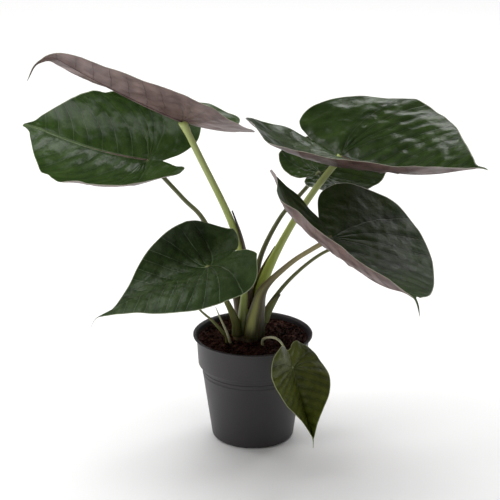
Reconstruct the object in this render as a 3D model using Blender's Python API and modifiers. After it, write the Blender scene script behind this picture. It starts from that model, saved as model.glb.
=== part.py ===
"""Potted alocasia: a nursery pot of soil with a corm, nine leaves on their petioles, sheaths and a shoot."""

import math
from dataclasses import dataclass

import bmesh
import bpy
import numpy as np
from mathutils import Matrix

NAME = "potted_alocasia"
CLEARANCE = 0.0003  # between two pieces that touch

# Pot: a turned thin-walled tub with a flared band under the lip.
POT_HEIGHT = 0.155
POT_LIP_RADIUS = 0.085
POT_LIP_OVERHANG = 0.0050  # past the top of the band
POT_BAND_HEIGHT = 0.044
POT_BAND_TAPER = 0.0023
POT_BAND_STEP = 0.0042  # from the foot of the band in to the body
POT_BASE_RADIUS = 0.0590
POT_WALL = 0.0014
POT_LIP_THICKNESS = 0.0016
POT_FLOOR = 0.0020
POT_EDGE_ROUNDING = 0.0050
POT_STEPS = 44

# Underside of the pot: a centre pad and an outer foot ring at z = 0, and a raised ring between them.
FOOT_RING_WIDTH = 0.0090
FOOT_RECESS = 0.0035
PAD_RADIUS = 0.0200
DRAIN_COUNT = 6
DRAIN_RADIUS = 0.0045
DRAIN_SIDES = 12
NOTCH_COUNT = 6
NOTCH_WIDTH = 0.0160
NOTCH_HEIGHT = 0.0018
CUT_REACH = 0.0020  # how far a cutter passes the face it cuts

# Soil and corm.
SOIL_BELOW_RIM = 0.0075
CROWN = (-0.008, 0.000)
CORM_RADIUS = 0.0240
CORM_FOOT_RADIUS = 0.0150
CORM_FIT = 0.0010  # the corm is this much slimmer than its socket
CORM_WAIST = 0.0020  # taper down to half its depth in the soil
CORM_SHOULDER = 0.0040
CORM_ABOVE_SOIL = 0.0100
CORM_IN_SOIL = 0.0280
CORM_STEPS = 28

# Leaves. Their junctions and via points are heights above the pot's rim.
BLADE_THICKNESS = 0.0010
CURL_START = 0.78  # shares of a blade's length
CURL_RUN = 0.27
LOBE_REACH = 0.44
CUP_REACH = 0.46
LOBE_START = 0.20  # where the cup starts to turn into that of the lobe
LOBE_RUN = 0.45
BEHIND = 0.70
AHEAD = 1.05
LEAST_BEND = 0.001
BLADE_RINGS = 4
OUTLINE_STEPS = 2
MIDRIB_STEPS = 64
PETIOLE_STEPS = 3
TUBE_RESOLUTION = 2  # gives eight sides
SEAT_DEPTH = 0.85  # share of its end's tilt that a petiole stays below its folded blade
RISE = 0.0030  # straight run at each foot
YOUNG_LENGTH = 0.12  # shorter blades are young and pale

POT_BAND_TOP_RADIUS = POT_LIP_RADIUS - POT_LIP_OVERHANG
POT_BAND_BOTTOM_RADIUS = POT_BAND_TOP_RADIUS - POT_BAND_TAPER
POT_BODY_TOP_RADIUS = POT_BAND_BOTTOM_RADIUS - POT_BAND_STEP
SOIL_TOP = POT_HEIGHT - SOIL_BELOW_RIM
CORM_TOP = SOIL_TOP + CORM_ABOVE_SOIL


@dataclass(frozen=True)
class Blade:
    """One leaf blade: lengths are shares of its length from petiole to tip, angles are in degrees."""

    name: str
    junction: tuple
    heading: float
    length: float
    pitch: float = 0.0
    roll: float = 0.0
    twist: float = 0.0
    droop: float = 10.0
    curl: float = 20.0
    lobe_droop: float = 0.0
    fold: float = 10.0
    unfold: float = 0.0
    lobe_fold: float = 0.0
    cup_left: float = 15.0
    cup_right: float = 15.0
    half_width: float = 0.48
    lobe: float = 0.44
    sinus: float = 0.17
    gap: float = 0.20
    lobe_cup: float | None = None  # cup of the right lobe where it isn't that of its side
    lobe_roll: float = 0.0


@dataclass(frozen=True)
class Petiole:
    """One petiole: from its base on the corm or the soil, by way of the via points, to its blade."""

    name: str
    base: tuple
    via: tuple
    base_radius: float
    top_radius: float


@dataclass(frozen=True)
class Sheath:
    """A pointed sheath round one side of a petiole, from one share of its length to another."""

    name: str
    petiole: str
    start: float
    end: float
    facing: float
    spread: float


LEAVES = (
    (
        Blade("Leaf_upper_left", (-0.095, -0.020, 0.316), 196, 0.240, pitch=26, roll=9, twist=21, droop=-10,
              curl=110, lobe_droop=-26, fold=18, unfold=-17, lobe_fold=-3, cup_left=0, cup_right=0,
              half_width=0.40, lobe=0.40, sinus=0.10, gap=0.14),
        Petiole("Petiole_upper_left", (-0.013, 0.000),
                ((-0.010, 0.000, 0.065), (-0.018, -0.004, 0.126), (-0.034, -0.008, 0.179),
                 (-0.072, -0.014, 0.263)),
                0.0062, 0.0040),
    ),
    (
        Blade("Leaf_left", (-0.153, 0.120, 0.221), 137, 0.274, pitch=-6, roll=-42, twist=-14, droop=-15,
              curl=13, lobe_droop=-21, fold=4, unfold=9, lobe_fold=-1, cup_left=67, cup_right=110,
              half_width=0.45, lobe=0.41, sinus=0.12, gap=0.34),
        Petiole("Petiole_left", (-0.018, 0.013),
                ((-0.019, 0.014, 0.030), (-0.030, 0.030, 0.069), (-0.069, 0.075, 0.141),
                 (-0.101, 0.100, 0.169)),
                0.0050, 0.0028),
    ),
    (
        Blade("Leaf_front_left", (-0.061, -0.090, 0.132), 197, 0.164, pitch=-15, roll=22, twist=1, droop=9,
              curl=0, lobe_droop=-43, fold=-3, unfold=-15, lobe_fold=-9, cup_left=-40, cup_right=95,
              half_width=0.60, lobe=0.38, sinus=0.24, gap=0.36),
        Petiole("Petiole_front_left", (-0.023, -0.011),
                ((-0.025, -0.015, 0.025), (-0.035, -0.028, 0.055)), 0.0050, 0.0028),
    ),
    (
        Blade("Leaf_upper_right", (0.124, 0.050, 0.247), -49.4, 0.261, pitch=-5.8, roll=16.2, twist=-11.4,
              droop=-30.9, curl=9.2, lobe_droop=-13.6, fold=17.9, unfold=1.8, lobe_fold=-2.9,
              cup_left=-18.3, cup_right=23.1, half_width=0.60, lobe=0.46, sinus=0.24, gap=0.09,
              lobe_cup=33, lobe_roll=-11.3),
        Petiole("Petiole_upper_right", (0.001, 0.003),
                ((0.007, 0.004, 0.048), (0.021, 0.010, 0.091), (0.052, 0.022, 0.150),
                 (0.087, 0.038, 0.201)),
                0.0062, 0.0040),
    ),
    (
        Blade("Leaf_right", (0.107, -0.060, 0.163), -66.4, 0.236, pitch=-19.4, roll=-12.1, twist=-22,
              droop=-40, curl=26.3, lobe_droop=-10.3, fold=8.3, unfold=-0.5, lobe_fold=4.2,
              cup_left=0, cup_right=32.3, half_width=0.58, lobe=0.44, sinus=0.19, gap=0.21,
              lobe_cup=44, lobe_roll=-8.6),
        Petiole("Petiole_right", (0.002, -0.013),
                ((0.006, -0.014, 0.040), (0.016, -0.018, 0.075), (0.051, -0.032, 0.116),
                 (0.081, -0.048, 0.143)),
                0.0062, 0.0030),
    ),
    (
        Blade("Leaf_back_right", (0.098, 0.140, 0.196), 31, 0.147, pitch=12, roll=12, twist=29, droop=-35,
              curl=0, lobe_droop=-11, fold=-7, unfold=-17, lobe_fold=0, cup_left=22, cup_right=23,
              half_width=0.56, lobe=0.25, sinus=0.16, gap=0.10),
        Petiole("Petiole_back_right", (-0.003, 0.017),
                ((0.003, 0.020, 0.057), (0.012, 0.040, 0.103), (0.039, 0.075, 0.147),
                 (0.067, 0.110, 0.169)),
                0.0045, 0.0026),
    ),
    (
        Blade("Leaf_right_small", (0.141, 0.040, 0.125), -5, 0.070, pitch=-15, roll=0, droop=15,
              curl=20, fold=10, cup_left=10, cup_right=10, half_width=0.44, lobe=0.36, gap=0.12),
        Petiole("Petiole_right_small", (0.0115, -0.004),
                ((0.014, -0.001, 0.015), (0.024, 0.006, 0.040), (0.053, 0.015, 0.076),
                 (0.095, 0.030, 0.107)),
                0.0034, 0.0020),
    ),
    (
        Blade("Leaf_front_small", (0.054, -0.110, -0.007), -48, 0.109, pitch=-71, roll=-11, twist=49,
              droop=-14, curl=35, lobe_droop=14, fold=22, unfold=64, lobe_fold=-8,
              cup_left=-26, cup_right=-40, half_width=0.47, lobe=0.31, sinus=0.23, gap=0.19),
        Petiole("Petiole_front_small", (0.014, -0.034),
                ((0.021, -0.045, 0.011), (0.032, -0.065, 0.018), (0.042, -0.086, 0.015)), 0.0020, 0.0013),
    ),
    (
        Blade("Leaf_left_juvenile", (-0.090, -0.035, 0.077), 175, 0.055, pitch=5, roll=0, droop=15,
              curl=20, fold=12, cup_left=10, cup_right=10, half_width=0.42, lobe=0.34, gap=0.12),
        Petiole("Petiole_left_juvenile", (-0.037, -0.022),
                ((-0.040, -0.023, 0.007), (-0.056, -0.026, 0.028), (-0.075, -0.030, 0.048)),
                0.0025, 0.0014),
    ),
)

SHEATHS = (
    Sheath("Sheath_upper_left", "Petiole_upper_left", 0.12, 0.56, 15, 70),
    Sheath("Sheath_upper_right", "Petiole_upper_right", 0.12, 0.45, 120, 75),
    Sheath("Sheath_right_small", "Petiole_right_small", 0.10, 0.34, -60, 80),
)
SHEATH_THICKNESS = 0.0008
SHEATH_STATIONS = 9
SHEATH_ARC_POINTS = 5
SHEATH_EASE = 1.12  # keeps the flats of the arc off the petiole

SHOOT_BASE = (-0.031, -0.026)
SHOOT_VIA = ((-0.036, -0.027, 0.010), (-0.046, -0.029, 0.035), (-0.052, -0.030, 0.051))
SHOOT_BASE_RADIUS = 0.0022
SHOOT_TIP_RADIUS = 0.0005


def clear_scene():
    for item in list(bpy.data.objects):
        bpy.data.objects.remove(item, do_unlink=True)


def collection(name, hidden=False):
    made = bpy.data.collections.new(name)
    made.hide_render = hidden
    bpy.context.scene.collection.children.link(made)
    return made


def material(name, colour, roughness, metallic=0.0):
    made = bpy.data.materials.new(name)
    made.use_nodes = True
    shader = made.node_tree.nodes["Principled BSDF"]
    shader.inputs["Base Color"].default_value = (*colour, 1.0)
    shader.inputs["Roughness"].default_value = roughness
    shader.inputs["Metallic"].default_value = metallic
    return made


def pot_plastic():
    return material("pot_plastic", (0.020, 0.020, 0.021), 0.55)


def potting_soil():
    return material("potting_soil", (0.050, 0.022, 0.014), 0.95)


def corm_skin():
    return material("corm_skin", (0.16, 0.13, 0.05), 0.60)


def petiole_skin():
    return material("petiole_skin", (0.30, 0.38, 0.10), 0.40)


def leaf_skin():
    return material("leaf_skin", (0.015, 0.060, 0.018), 0.28)


def young_leaf_skin():
    return material("young_leaf_skin", (0.10, 0.18, 0.035), 0.40)


def dry_sheath():
    return material("dry_sheath", (0.16, 0.07, 0.04), 0.70)


def mesh_object(name, mesh, home, skin):
    made = bpy.data.objects.new(name, mesh)
    home.objects.link(made)
    if skin:
        mesh.materials.append(skin)
    return made


def turned(name, profile, steps, home, skin, centre=(0.0, 0.0)):
    """A solid turned about an upright axis from (radius, height) points that run down the outer side."""
    points = [(radius, 0.0, height) for radius, height in profile]
    edges = [(index, index + 1) for index in range(len(profile) - 1)]
    mesh = bpy.data.meshes.new(name)
    mesh.from_pydata(points, edges, [])
    made = mesh_object(name, mesh, home, skin)
    made.location = (*centre, 0.0)
    screw = made.modifiers.new("Turn", "SCREW")
    screw.steps = steps
    screw.render_steps = steps
    screw.use_merge_vertices = True
    screw.merge_threshold = 0.00001
    screw.use_smooth_shade = False
    return made


def cut(target, cutter):
    cutter.display_type = "WIRE"
    cutter.hide_render = True
    step = target.modifiers.new(f"Cut {cutter.name}", "BOOLEAN")
    step.operation = "DIFFERENCE"
    step.solver = "EXACT"
    step.object = cutter


def ring_of(count, radius, offset=0.0):
    for index in range(count):
        angle = math.tau * (index + offset) / count
        yield angle, radius * math.cos(angle), radius * math.sin(angle)


def joined_cutter(name, shapes, home):
    """One cutter mesh of several separate shapes, each given as a function that adds itself to a bmesh."""
    work = bmesh.new()
    for shape in shapes:
        shape(work)
    mesh = bpy.data.meshes.new(name)
    work.to_mesh(mesh)
    work.free()
    return mesh_object(name, mesh, home, None)


def cylinder_at(x, y, bottom, top, radius, segments=DRAIN_SIDES):
    def add(work):
        made = bmesh.ops.create_cone(
            work, cap_ends=True, segments=segments, radius1=radius, radius2=radius, depth=top - bottom
        )
        bmesh.ops.translate(work, verts=made["verts"], vec=(x, y, (top + bottom) / 2))

    return add


def box_at(angle, radius, size):
    def add(work):
        made = bmesh.ops.create_cube(work, size=1.0)
        bmesh.ops.scale(work, verts=made["verts"], vec=size)
        bmesh.ops.translate(work, verts=made["verts"], vec=(radius, 0.0, 0.0))
        turn = Matrix.Rotation(angle, 3, "Z")
        bmesh.ops.rotate(work, verts=made["verts"], cent=(0, 0, 0), matrix=turn)

    return add


def wall_radius(height):
    """Outer radius of the pot's body, below its band."""
    share = height / (POT_HEIGHT - POT_BAND_HEIGHT)
    return POT_BASE_RADIUS + (POT_BODY_TOP_RADIUS - POT_BASE_RADIUS) * share


def inner_profile():
    """The pot's inner side, from its floor up to just under the lip."""
    floor_top = FOOT_RECESS + POT_FLOOR
    band_bottom = POT_HEIGHT - POT_BAND_HEIGHT
    return [
        (wall_radius(floor_top) - POT_WALL - POT_FLOOR, floor_top),
        (wall_radius(floor_top + POT_FLOOR) - POT_WALL, floor_top + POT_FLOOR),
        (POT_BODY_TOP_RADIUS - POT_WALL, band_bottom - POT_WALL),
        (POT_BAND_BOTTOM_RADIUS - POT_WALL, band_bottom),
        (POT_BAND_TOP_RADIUS - POT_WALL, POT_HEIGHT - 2 * POT_LIP_THICKNESS),
    ]


def build_pot(home, cutters, skin):
    band_bottom = POT_HEIGHT - POT_BAND_HEIGHT
    floor_top = FOOT_RECESS + POT_FLOOR
    foot_inner = POT_BASE_RADIUS - POT_EDGE_ROUNDING - FOOT_RING_WIDTH
    rounding = [
        (
            POT_BASE_RADIUS - POT_EDGE_ROUNDING * (1 - math.cos(angle)),
            POT_EDGE_ROUNDING * (1 - math.sin(angle)),
        )
        for angle in np.linspace(0, math.pi / 2, 4)
    ]
    profile = [
        (0.0, floor_top),
        *inner_profile(),
        (POT_LIP_RADIUS - POT_LIP_THICKNESS, POT_HEIGHT),
        (POT_LIP_RADIUS, POT_HEIGHT - 0.3 * POT_LIP_THICKNESS),
        (POT_LIP_RADIUS, POT_HEIGHT - 1.2 * POT_LIP_THICKNESS),
        (POT_BAND_TOP_RADIUS, POT_HEIGHT - 3.5 * POT_LIP_THICKNESS),
        (POT_BAND_BOTTOM_RADIUS, band_bottom),
        (POT_BODY_TOP_RADIUS, band_bottom - POT_WALL),
        *rounding,
        (foot_inner, 0.0),
        (foot_inner, FOOT_RECESS),
        (PAD_RADIUS, FOOT_RECESS),
        (PAD_RADIUS, 0.0),
        (0.0, 0.0),
    ]
    pot = turned("Pot", profile, POT_STEPS, home, skin)
    drain_ring = (PAD_RADIUS + foot_inner) / 2
    drains = [
        cylinder_at(x, y, -CUT_REACH, floor_top + CUT_REACH, DRAIN_RADIUS)
        for _, x, y in ring_of(DRAIN_COUNT, drain_ring)
    ]
    notch = (3 * FOOT_RING_WIDTH, NOTCH_WIDTH, 2 * NOTCH_HEIGHT)
    notches = [
        box_at(angle, foot_inner + FOOT_RING_WIDTH, notch)
        for angle, _, _ in ring_of(NOTCH_COUNT, 1.0, 0.5)
    ]
    cut(pot, joined_cutter("Drain_holes", drains, cutters))
    cut(pot, joined_cutter("Foot_notches", notches, cutters))
    return pot


def build_soil(home, cutters, skin):
    """The soil fills the pot up to its top, a small gap inside the pot's own inner side."""
    gap = 2 * CLEARANCE
    wall = [(radius - gap, height + gap) for radius, height in inner_profile()]
    below, above = wall[-2], wall[-1]
    share = (SOIL_TOP - below[1]) / (above[1] - below[1])
    top_radius = below[0] + (above[0] - below[0]) * share
    profile = [(0.0, SOIL_TOP), (top_radius, SOIL_TOP), *wall[-2::-1], (0.0, wall[0][1])]
    soil = turned("Soil", profile, POT_STEPS, home, skin)
    reach = CORM_RADIUS + CLEARANCE
    bottom = SOIL_TOP - CORM_IN_SOIL - CLEARANCE
    socket = cylinder_at(*CROWN, bottom, SOIL_TOP + CUT_REACH, reach, CORM_STEPS)
    cut(soil, joined_cutter("Corm_socket", [socket], cutters))
    return soil


def build_corm(home, skin):
    girth = CORM_RADIUS - CORM_FIT
    profile = [
        (0.0, CORM_TOP),
        (CORM_RADIUS - CORM_SHOULDER, CORM_TOP),
        (girth, CORM_TOP - CORM_SHOULDER),
        (girth, SOIL_TOP - CORM_SHOULDER),
        (girth - CORM_WAIST, SOIL_TOP - 0.5 * CORM_IN_SOIL),
        (CORM_FOOT_RADIUS, SOIL_TOP - CORM_IN_SOIL),
        (0.0, SOIL_TOP - CORM_IN_SOIL),
    ]
    return turned("Corm", profile, CORM_STEPS, home, skin, CROWN)


def smooth_line(points, steps):
    """A Catmull-Rom curve through a list of points, as an array."""
    ends = [2 * points[0] - points[1], *points, 2 * points[-1] - points[-2]]
    line = []
    for before, start, end, after in zip(ends, ends[1:], ends[2:], ends[3:]):
        for step in range(steps):
            t = step / steps
            line.append(
                0.5 * (2 * start + (end - before) * t
                + (2 * before - 5 * start + 4 * end - after) * t**2
                + (3 * start - before - 3 * end + after) * t**3)
            )
    line.append(points[-1])
    return np.array(line)


def half_outline(blade):
    """Left half of the flat outline, from the tip round the lobe to the sinus, in blade lengths."""
    w, lobe, gap = blade.half_width, blade.lobe, blade.gap
    reach = lobe - 0.10
    points = [
        (1.00, 0.0),
        (0.90, 0.15 * w),
        (0.70, 0.45 * w),
        (0.42, 0.80 * w),
        (0.15, 0.98 * w),
        (-0.10, 0.985 * w),
        (-0.10 - 0.52 * reach, 0.86 * w),
        (-0.10 - 0.90 * reach, 0.60 * w),
        (-lobe, 0.16 * w + 0.5 * gap),
        (-0.88 * lobe, 0.4 * gap),
        (-0.5 * (blade.sinus + 0.88 * lobe), 0.17 * gap),
        (-blade.sinus, 0.0),
    ]
    return smooth_line([np.array(point) for point in points], OUTLINE_STEPS)


def above_rim(point):
    """A place given by its height above the rim, as an array."""
    return np.array(point) + (0.0, 0.0, POT_HEIGHT)


def eased(value):
    t = np.clip(value, 0.0, 1.0)
    return t * t * (3 - 2 * t)


def midrib(blade):
    """Stations along the midrib, their places and their directions, from behind the sinus to the tip."""
    station = np.linspace(-BEHIND, AHEAD, MIDRIB_STEPS)
    ahead = np.clip(station, 0, None)
    behind = np.clip(-station, 0, None)
    slope = np.radians(
        blade.pitch
        - blade.droop * ahead
        - blade.curl * eased((station - CURL_START) / CURL_RUN)
        + blade.lobe_droop * behind / LOBE_REACH
    )
    direction = np.stack([np.cos(slope), np.zeros_like(slope), np.sin(slope)], -1)
    place = np.cumsum(direction * (station[1] - station[0]), axis=0)
    place -= [np.interp(0, station, place[:, axis]) for axis in range(3)]
    return station, place, direction


def shaped(blade, flat):
    """Moves flat points, in blade lengths, to where the grown blade has them."""
    x, y = flat[:, 0], flat[:, 1]
    station, place, direction = midrib(blade)
    middle = np.stack([np.interp(x, station, place[:, axis]) for axis in range(3)], -1)
    along = np.stack([np.interp(x, station, direction[:, axis]) for axis in range(3)], -1)
    along /= np.linalg.norm(along, axis=1)[:, None]
    across = np.broadcast_to([0.0, 1.0, 0.0], along.shape)
    above = np.cross(along, across)
    ahead, behind = np.clip(x, 0, None), np.clip(-x, 0, None)
    roll = np.radians(blade.roll + blade.twist * x + blade.lobe_roll * behind / LOBE_REACH)[:, None]
    side = across * np.cos(roll) + above * np.sin(roll)
    top = above * np.cos(roll) - across * np.sin(roll)
    start = np.radians(blade.fold + blade.unfold * ahead + blade.lobe_fold * behind / LOBE_REACH)
    lobe_cup = blade.cup_right if blade.lobe_cup is None else blade.lobe_cup
    cup_right = blade.cup_right + (lobe_cup - blade.cup_right) * eased((LOBE_START - x) / LOBE_RUN)
    bend = np.radians(np.where(y > 0, blade.cup_left, cup_right)) / CUP_REACH
    bend = np.where(np.abs(bend) < LEAST_BEND, LEAST_BEND, bend)
    reach = np.abs(y)
    out = np.sign(y) * (np.sin(start + bend * reach) - np.sin(start)) / bend
    lift = (np.cos(start) - np.cos(start + bend * reach)) / bend
    points = blade.length * (middle + side * out[:, None] + top * lift[:, None])
    heading = math.radians(blade.heading)
    turn = np.array([
        [math.cos(heading), -math.sin(heading), 0.0],
        [math.sin(heading), math.cos(heading), 0.0],
        [0.0, 0.0, 1.0],
    ])
    return points @ turn.T + above_rim(blade.junction)


def build_blade(blade, home, skin):
    """The blade as rings about the junction, given its thickness by Solidify."""
    left = half_outline(blade)
    right = left[1:-1][::-1] * (1, -1)
    outline = np.concatenate([left, right])
    count = len(outline)
    rings = [outline * share for share in np.linspace(1 / BLADE_RINGS, 1, BLADE_RINGS)]
    flat = np.concatenate([[(0.0, 0.0)], *rings])
    faces = [(0, 1 + index, 1 + (index + 1) % count) for index in range(count)]
    for ring in range(BLADE_RINGS - 1):
        first = 1 + ring * count
        for index in range(count):
            after = (index + 1) % count
            faces.append((first + index, first + count + index, first + count + after, first + after))
    mesh = bpy.data.meshes.new(blade.name)
    mesh.from_pydata(shaped(blade, flat).tolist(), [], faces)
    made = mesh_object(blade.name, mesh, home, skin)
    shell = made.modifiers.new("Thickness", "SOLIDIFY")
    shell.thickness = BLADE_THICKNESS
    shell.offset = 0.0
    return made


def underside(blade):
    """The blade's downward normal at its junction."""
    ends = shaped(blade, np.array([(0.02, 0.0), (-0.02, 0.0), (0.0, 0.02), (0.0, -0.02)]))
    normal = np.cross(ends[0] - ends[1], ends[2] - ends[3])
    return -normal / np.linalg.norm(normal)


def petiole_route(petiole, blade):
    """Smooth points along the petiole, from its flat foot to its end just under the blade."""
    in_crown = math.dist(petiole.base, CROWN) < CORM_RADIUS
    foot = (CORM_TOP if in_crown else SOIL_TOP) + CLEARANCE
    start = np.array([*petiole.base, foot])
    via = [above_rim(point) for point in petiole.via]
    down = underside(blade)
    junction = above_rim(blade.junction)
    arrival = junction - via[-1]
    tilt = math.sqrt(max(0.0, 1 - (arrival @ down / np.linalg.norm(arrival)) ** 2))
    seat = BLADE_THICKNESS / 2 + 2 * CLEARANCE + SEAT_DEPTH * petiole.top_radius * tilt
    top = junction + down * seat
    return np.concatenate([[start], smooth_line([start + (0, 0, RISE), *via, top], PETIOLE_STEPS)])


def petiole_radius(petiole, share):
    """Radius at a share of the petiole's length: thick at its sheathing base, slender above."""
    return petiole.base_radius + (petiole.top_radius - petiole.base_radius) * float(eased(1.3 * share))


def tube(name, route, radii, home, skin):
    data = bpy.data.curves.new(name, "CURVE")
    data.dimensions = "3D"
    data.bevel_depth = 1.0
    data.bevel_resolution = TUBE_RESOLUTION
    data.use_fill_caps = True
    line = data.splines.new("POLY")
    line.points.add(len(route) - 1)
    for point, place, radius in zip(line.points, route, radii):
        point.co = (*place, 1.0)
        point.radius = radius
    made = bpy.data.objects.new(name, data)
    home.objects.link(made)
    data.materials.append(skin)
    return made


def shares(route):
    """Share of the whole length at each point of a route."""
    runs = np.linalg.norm(np.diff(route, axis=0), axis=1)
    return np.concatenate([[0.0], np.cumsum(runs)]) / runs.sum()


def build_petiole(petiole, blade, home, skin):
    route = petiole_route(petiole, blade)
    radii = [petiole_radius(petiole, share) for share in shares(route)]
    return tube(petiole.name, route, radii, home, skin)


def build_sheath(sheath, petiole, blade, home, skin):
    """A curved strip that hugs the petiole and narrows to a point: a loft of arcs."""
    route = petiole_route(petiole, blade)
    along = shares(route)
    angles = np.linspace(-1.0, 1.0, SHEATH_ARC_POINTS)
    points = []
    for station in np.linspace(0.0, 1.0, SHEATH_STATIONS):
        share = sheath.start + (sheath.end - sheath.start) * station
        middle, ahead = (
            np.array([np.interp(value, along, route[:, axis]) for axis in range(3)])
            for value in (share, share + 0.01)
        )
        axis = (ahead - middle) / np.linalg.norm(ahead - middle)
        facing = math.radians(sheath.facing)
        front = np.array([math.cos(facing), math.sin(facing), 0.0])
        front -= axis * (front @ axis)
        front /= np.linalg.norm(front)
        side = np.cross(axis, front)
        spread = math.radians(sheath.spread) * (1 - 0.92 * station**1.5)
        inner = petiole_radius(petiole, share) * SHEATH_EASE + CLEARANCE
        for radius, turns in ((inner, angles), (inner + SHEATH_THICKNESS, angles[::-1])):
            for turn in turns:
                out = front * math.cos(spread * turn) + side * math.sin(spread * turn)
                points.append(middle + out * radius)
    return loft(sheath.name, points, 2 * SHEATH_ARC_POINTS, home, skin)


def loft(name, points, around, home, skin):
    """Closed sections of equal point counts joined in order and capped at both ends."""
    work = bmesh.new()
    made = [work.verts.new(point) for point in points]
    sections = [made[first : first + around] for first in range(0, len(made), around)]
    for lower, upper in zip(sections, sections[1:]):
        for index in range(around):
            after = (index + 1) % around
            work.faces.new((lower[index], lower[after], upper[after], upper[index]))
    half = around // 2
    for section in (sections[0], sections[-1]):
        for index in range(half - 1):
            work.faces.new((section[index], section[index + 1], section[-2 - index], section[-1 - index]))
    bmesh.ops.recalc_face_normals(work, faces=work.faces)
    mesh = bpy.data.meshes.new(name)
    work.to_mesh(mesh)
    work.free()
    return mesh_object(name, mesh, home, skin)


def build_shoot(home, skin):
    start = np.array([*SHOOT_BASE, SOIL_TOP + CLEARANCE])
    bends = [start + (0, 0, RISE), *[above_rim(point) for point in SHOOT_VIA]]
    route = np.concatenate([[start], smooth_line(bends, PETIOLE_STEPS)])
    radii = [SHOOT_BASE_RADIUS + (SHOOT_TIP_RADIUS - SHOOT_BASE_RADIUS) * share for share in shares(route)]
    return tube("Shoot", route, radii, home, skin)


def main():
    clear_scene()
    home = collection(NAME)
    cutters = collection("cutters", hidden=True)
    build_pot(home, cutters, pot_plastic())
    build_soil(home, cutters, potting_soil())
    build_corm(home, corm_skin())
    green, dark, young, dry = petiole_skin(), leaf_skin(), young_leaf_skin(), dry_sheath()
    for blade, petiole in LEAVES:
        build_blade(blade, home, young if blade.length < YOUNG_LENGTH else dark)
        build_petiole(petiole, blade, home, green)
    pairs = {petiole.name: (petiole, blade) for blade, petiole in LEAVES}
    for sheath in SHEATHS:
        build_sheath(sheath, *pairs[sheath.petiole], home, dry)
    build_shoot(home, green)


main()
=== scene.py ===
"""Finished look of the potted alocasia: leaves, sheaths, crown, soil, nursery pot and studio."""

from __future__ import annotations

import logging
import math
from dataclasses import dataclass
from enum import Enum

import bpy
import numpy as np
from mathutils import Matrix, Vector, noise

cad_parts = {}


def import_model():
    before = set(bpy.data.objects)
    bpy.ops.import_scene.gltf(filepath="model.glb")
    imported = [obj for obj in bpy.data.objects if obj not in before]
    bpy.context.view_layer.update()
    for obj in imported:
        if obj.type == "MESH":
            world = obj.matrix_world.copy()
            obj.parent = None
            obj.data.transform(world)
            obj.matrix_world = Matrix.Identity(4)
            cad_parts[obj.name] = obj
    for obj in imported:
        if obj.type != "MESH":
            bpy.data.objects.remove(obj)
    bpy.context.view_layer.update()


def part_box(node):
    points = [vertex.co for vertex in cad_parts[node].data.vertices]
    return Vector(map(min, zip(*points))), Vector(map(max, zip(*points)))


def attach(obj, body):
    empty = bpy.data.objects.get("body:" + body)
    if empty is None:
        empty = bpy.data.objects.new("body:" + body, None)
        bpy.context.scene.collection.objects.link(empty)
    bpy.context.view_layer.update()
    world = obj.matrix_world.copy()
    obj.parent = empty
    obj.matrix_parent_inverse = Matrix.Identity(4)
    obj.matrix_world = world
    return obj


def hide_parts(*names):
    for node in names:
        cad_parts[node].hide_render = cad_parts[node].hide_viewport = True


LOG = logging.getLogger("alocasia")
Colour = tuple[float, float, float]
Point = tuple[float, float, float]
Faces = list[tuple[int, ...]]

# Shares of a blade's length at which its parts begin, and over which they come in.
LOBE_SPAN = 0.44
HALF_SPAN = 0.46
SHOULDER = -0.10
CURL_START, CURL_RUN = 0.78, 0.27
TAIL_START, TAIL_RUN = 0.97, 0.10
LOBE_START, LOBE_RUN = 0.20, 0.45
MIDRIB_FROM, MIDRIB_TO, MIDRIB_STATIONS = -0.70, 1.20, 160

# Spacing of a blade's rings of points, and how it thins at the margin, by share of the way there.
RING_POWER = 0.85
THINNING, THIN_START, THIN_RUN = 0.5, 0.90, 0.10

# Relief of a blade: the scales of its noises and the steps between their seeds.
SWAY_SCALE, LUMP_SCALE, SLOW_SCALE = 5, 16, 6
LUMP_SEED, SLOW_SEED = 9, 3

# Quilting: sway of its lines, roundness of its domes, weights of its noises, the reach over which it comes
# in from the midrib, and its fading towards the margin.
SWAY = 0.012
DOME_POWER = 0.8
DOME_BASE, DOME_SLOW, DOME_LUMPS = 0.35, 0.7, 0.85
DOME_REACH = 0.05
FADE, FADE_START, FADE_RUN = 0.65, 0.72, 0.28

# Ruffle of the margin, and the groove over the midrib: where they begin and how far they reach.
RUFFLE_START, RUFFLE_RUN, RUFFLE_REACH = 0.55, 0.45, 0.04
GROOVE, GROOVE_REACH = 0.35, 0.022
GROOVE_START, GROOVE_RUN = -0.02, 0.05

# Radius of the small hub ring at the middle of a turned piece.
HUB = 0.002

# Raised veins: how far out they run, their sides, their fewest points, and the margin distance they read.
VEIN_END = 0.965
VEIN_SIDES = 6
VEIN_POINTS = 6
VEIN_MARGIN = 0.01
VEIN_SINK = 0.25

# Radii of the veins at both ends, in blade lengths, how many there are of a side, and how far they reach.
MIDRIB_RADII = (0.0070, 0.0012)
SIDE_RADII = (0.0014, 0.0003)
RAY_RADII = (0.0016, 0.0003)
SIDE_VEINS, RAYS = 7, 4
MIDRIB_REACH, VEIN_REACH = 0.97, 0.62

# How deep a petiole stands in what it rises from, and how near the corm's middle it must be to rise from it.
FOOT_DEPTH = 0.002
CROWN_REACH = 0.024

# Petioles: how far each rises straight from its foot, and its steps between two places and round.
FOOT_RISE = 0.012
STALK_STEPS = 9
STALK_SIDES = 24


# ---------------------------------------------------------------- shader maths


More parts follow.
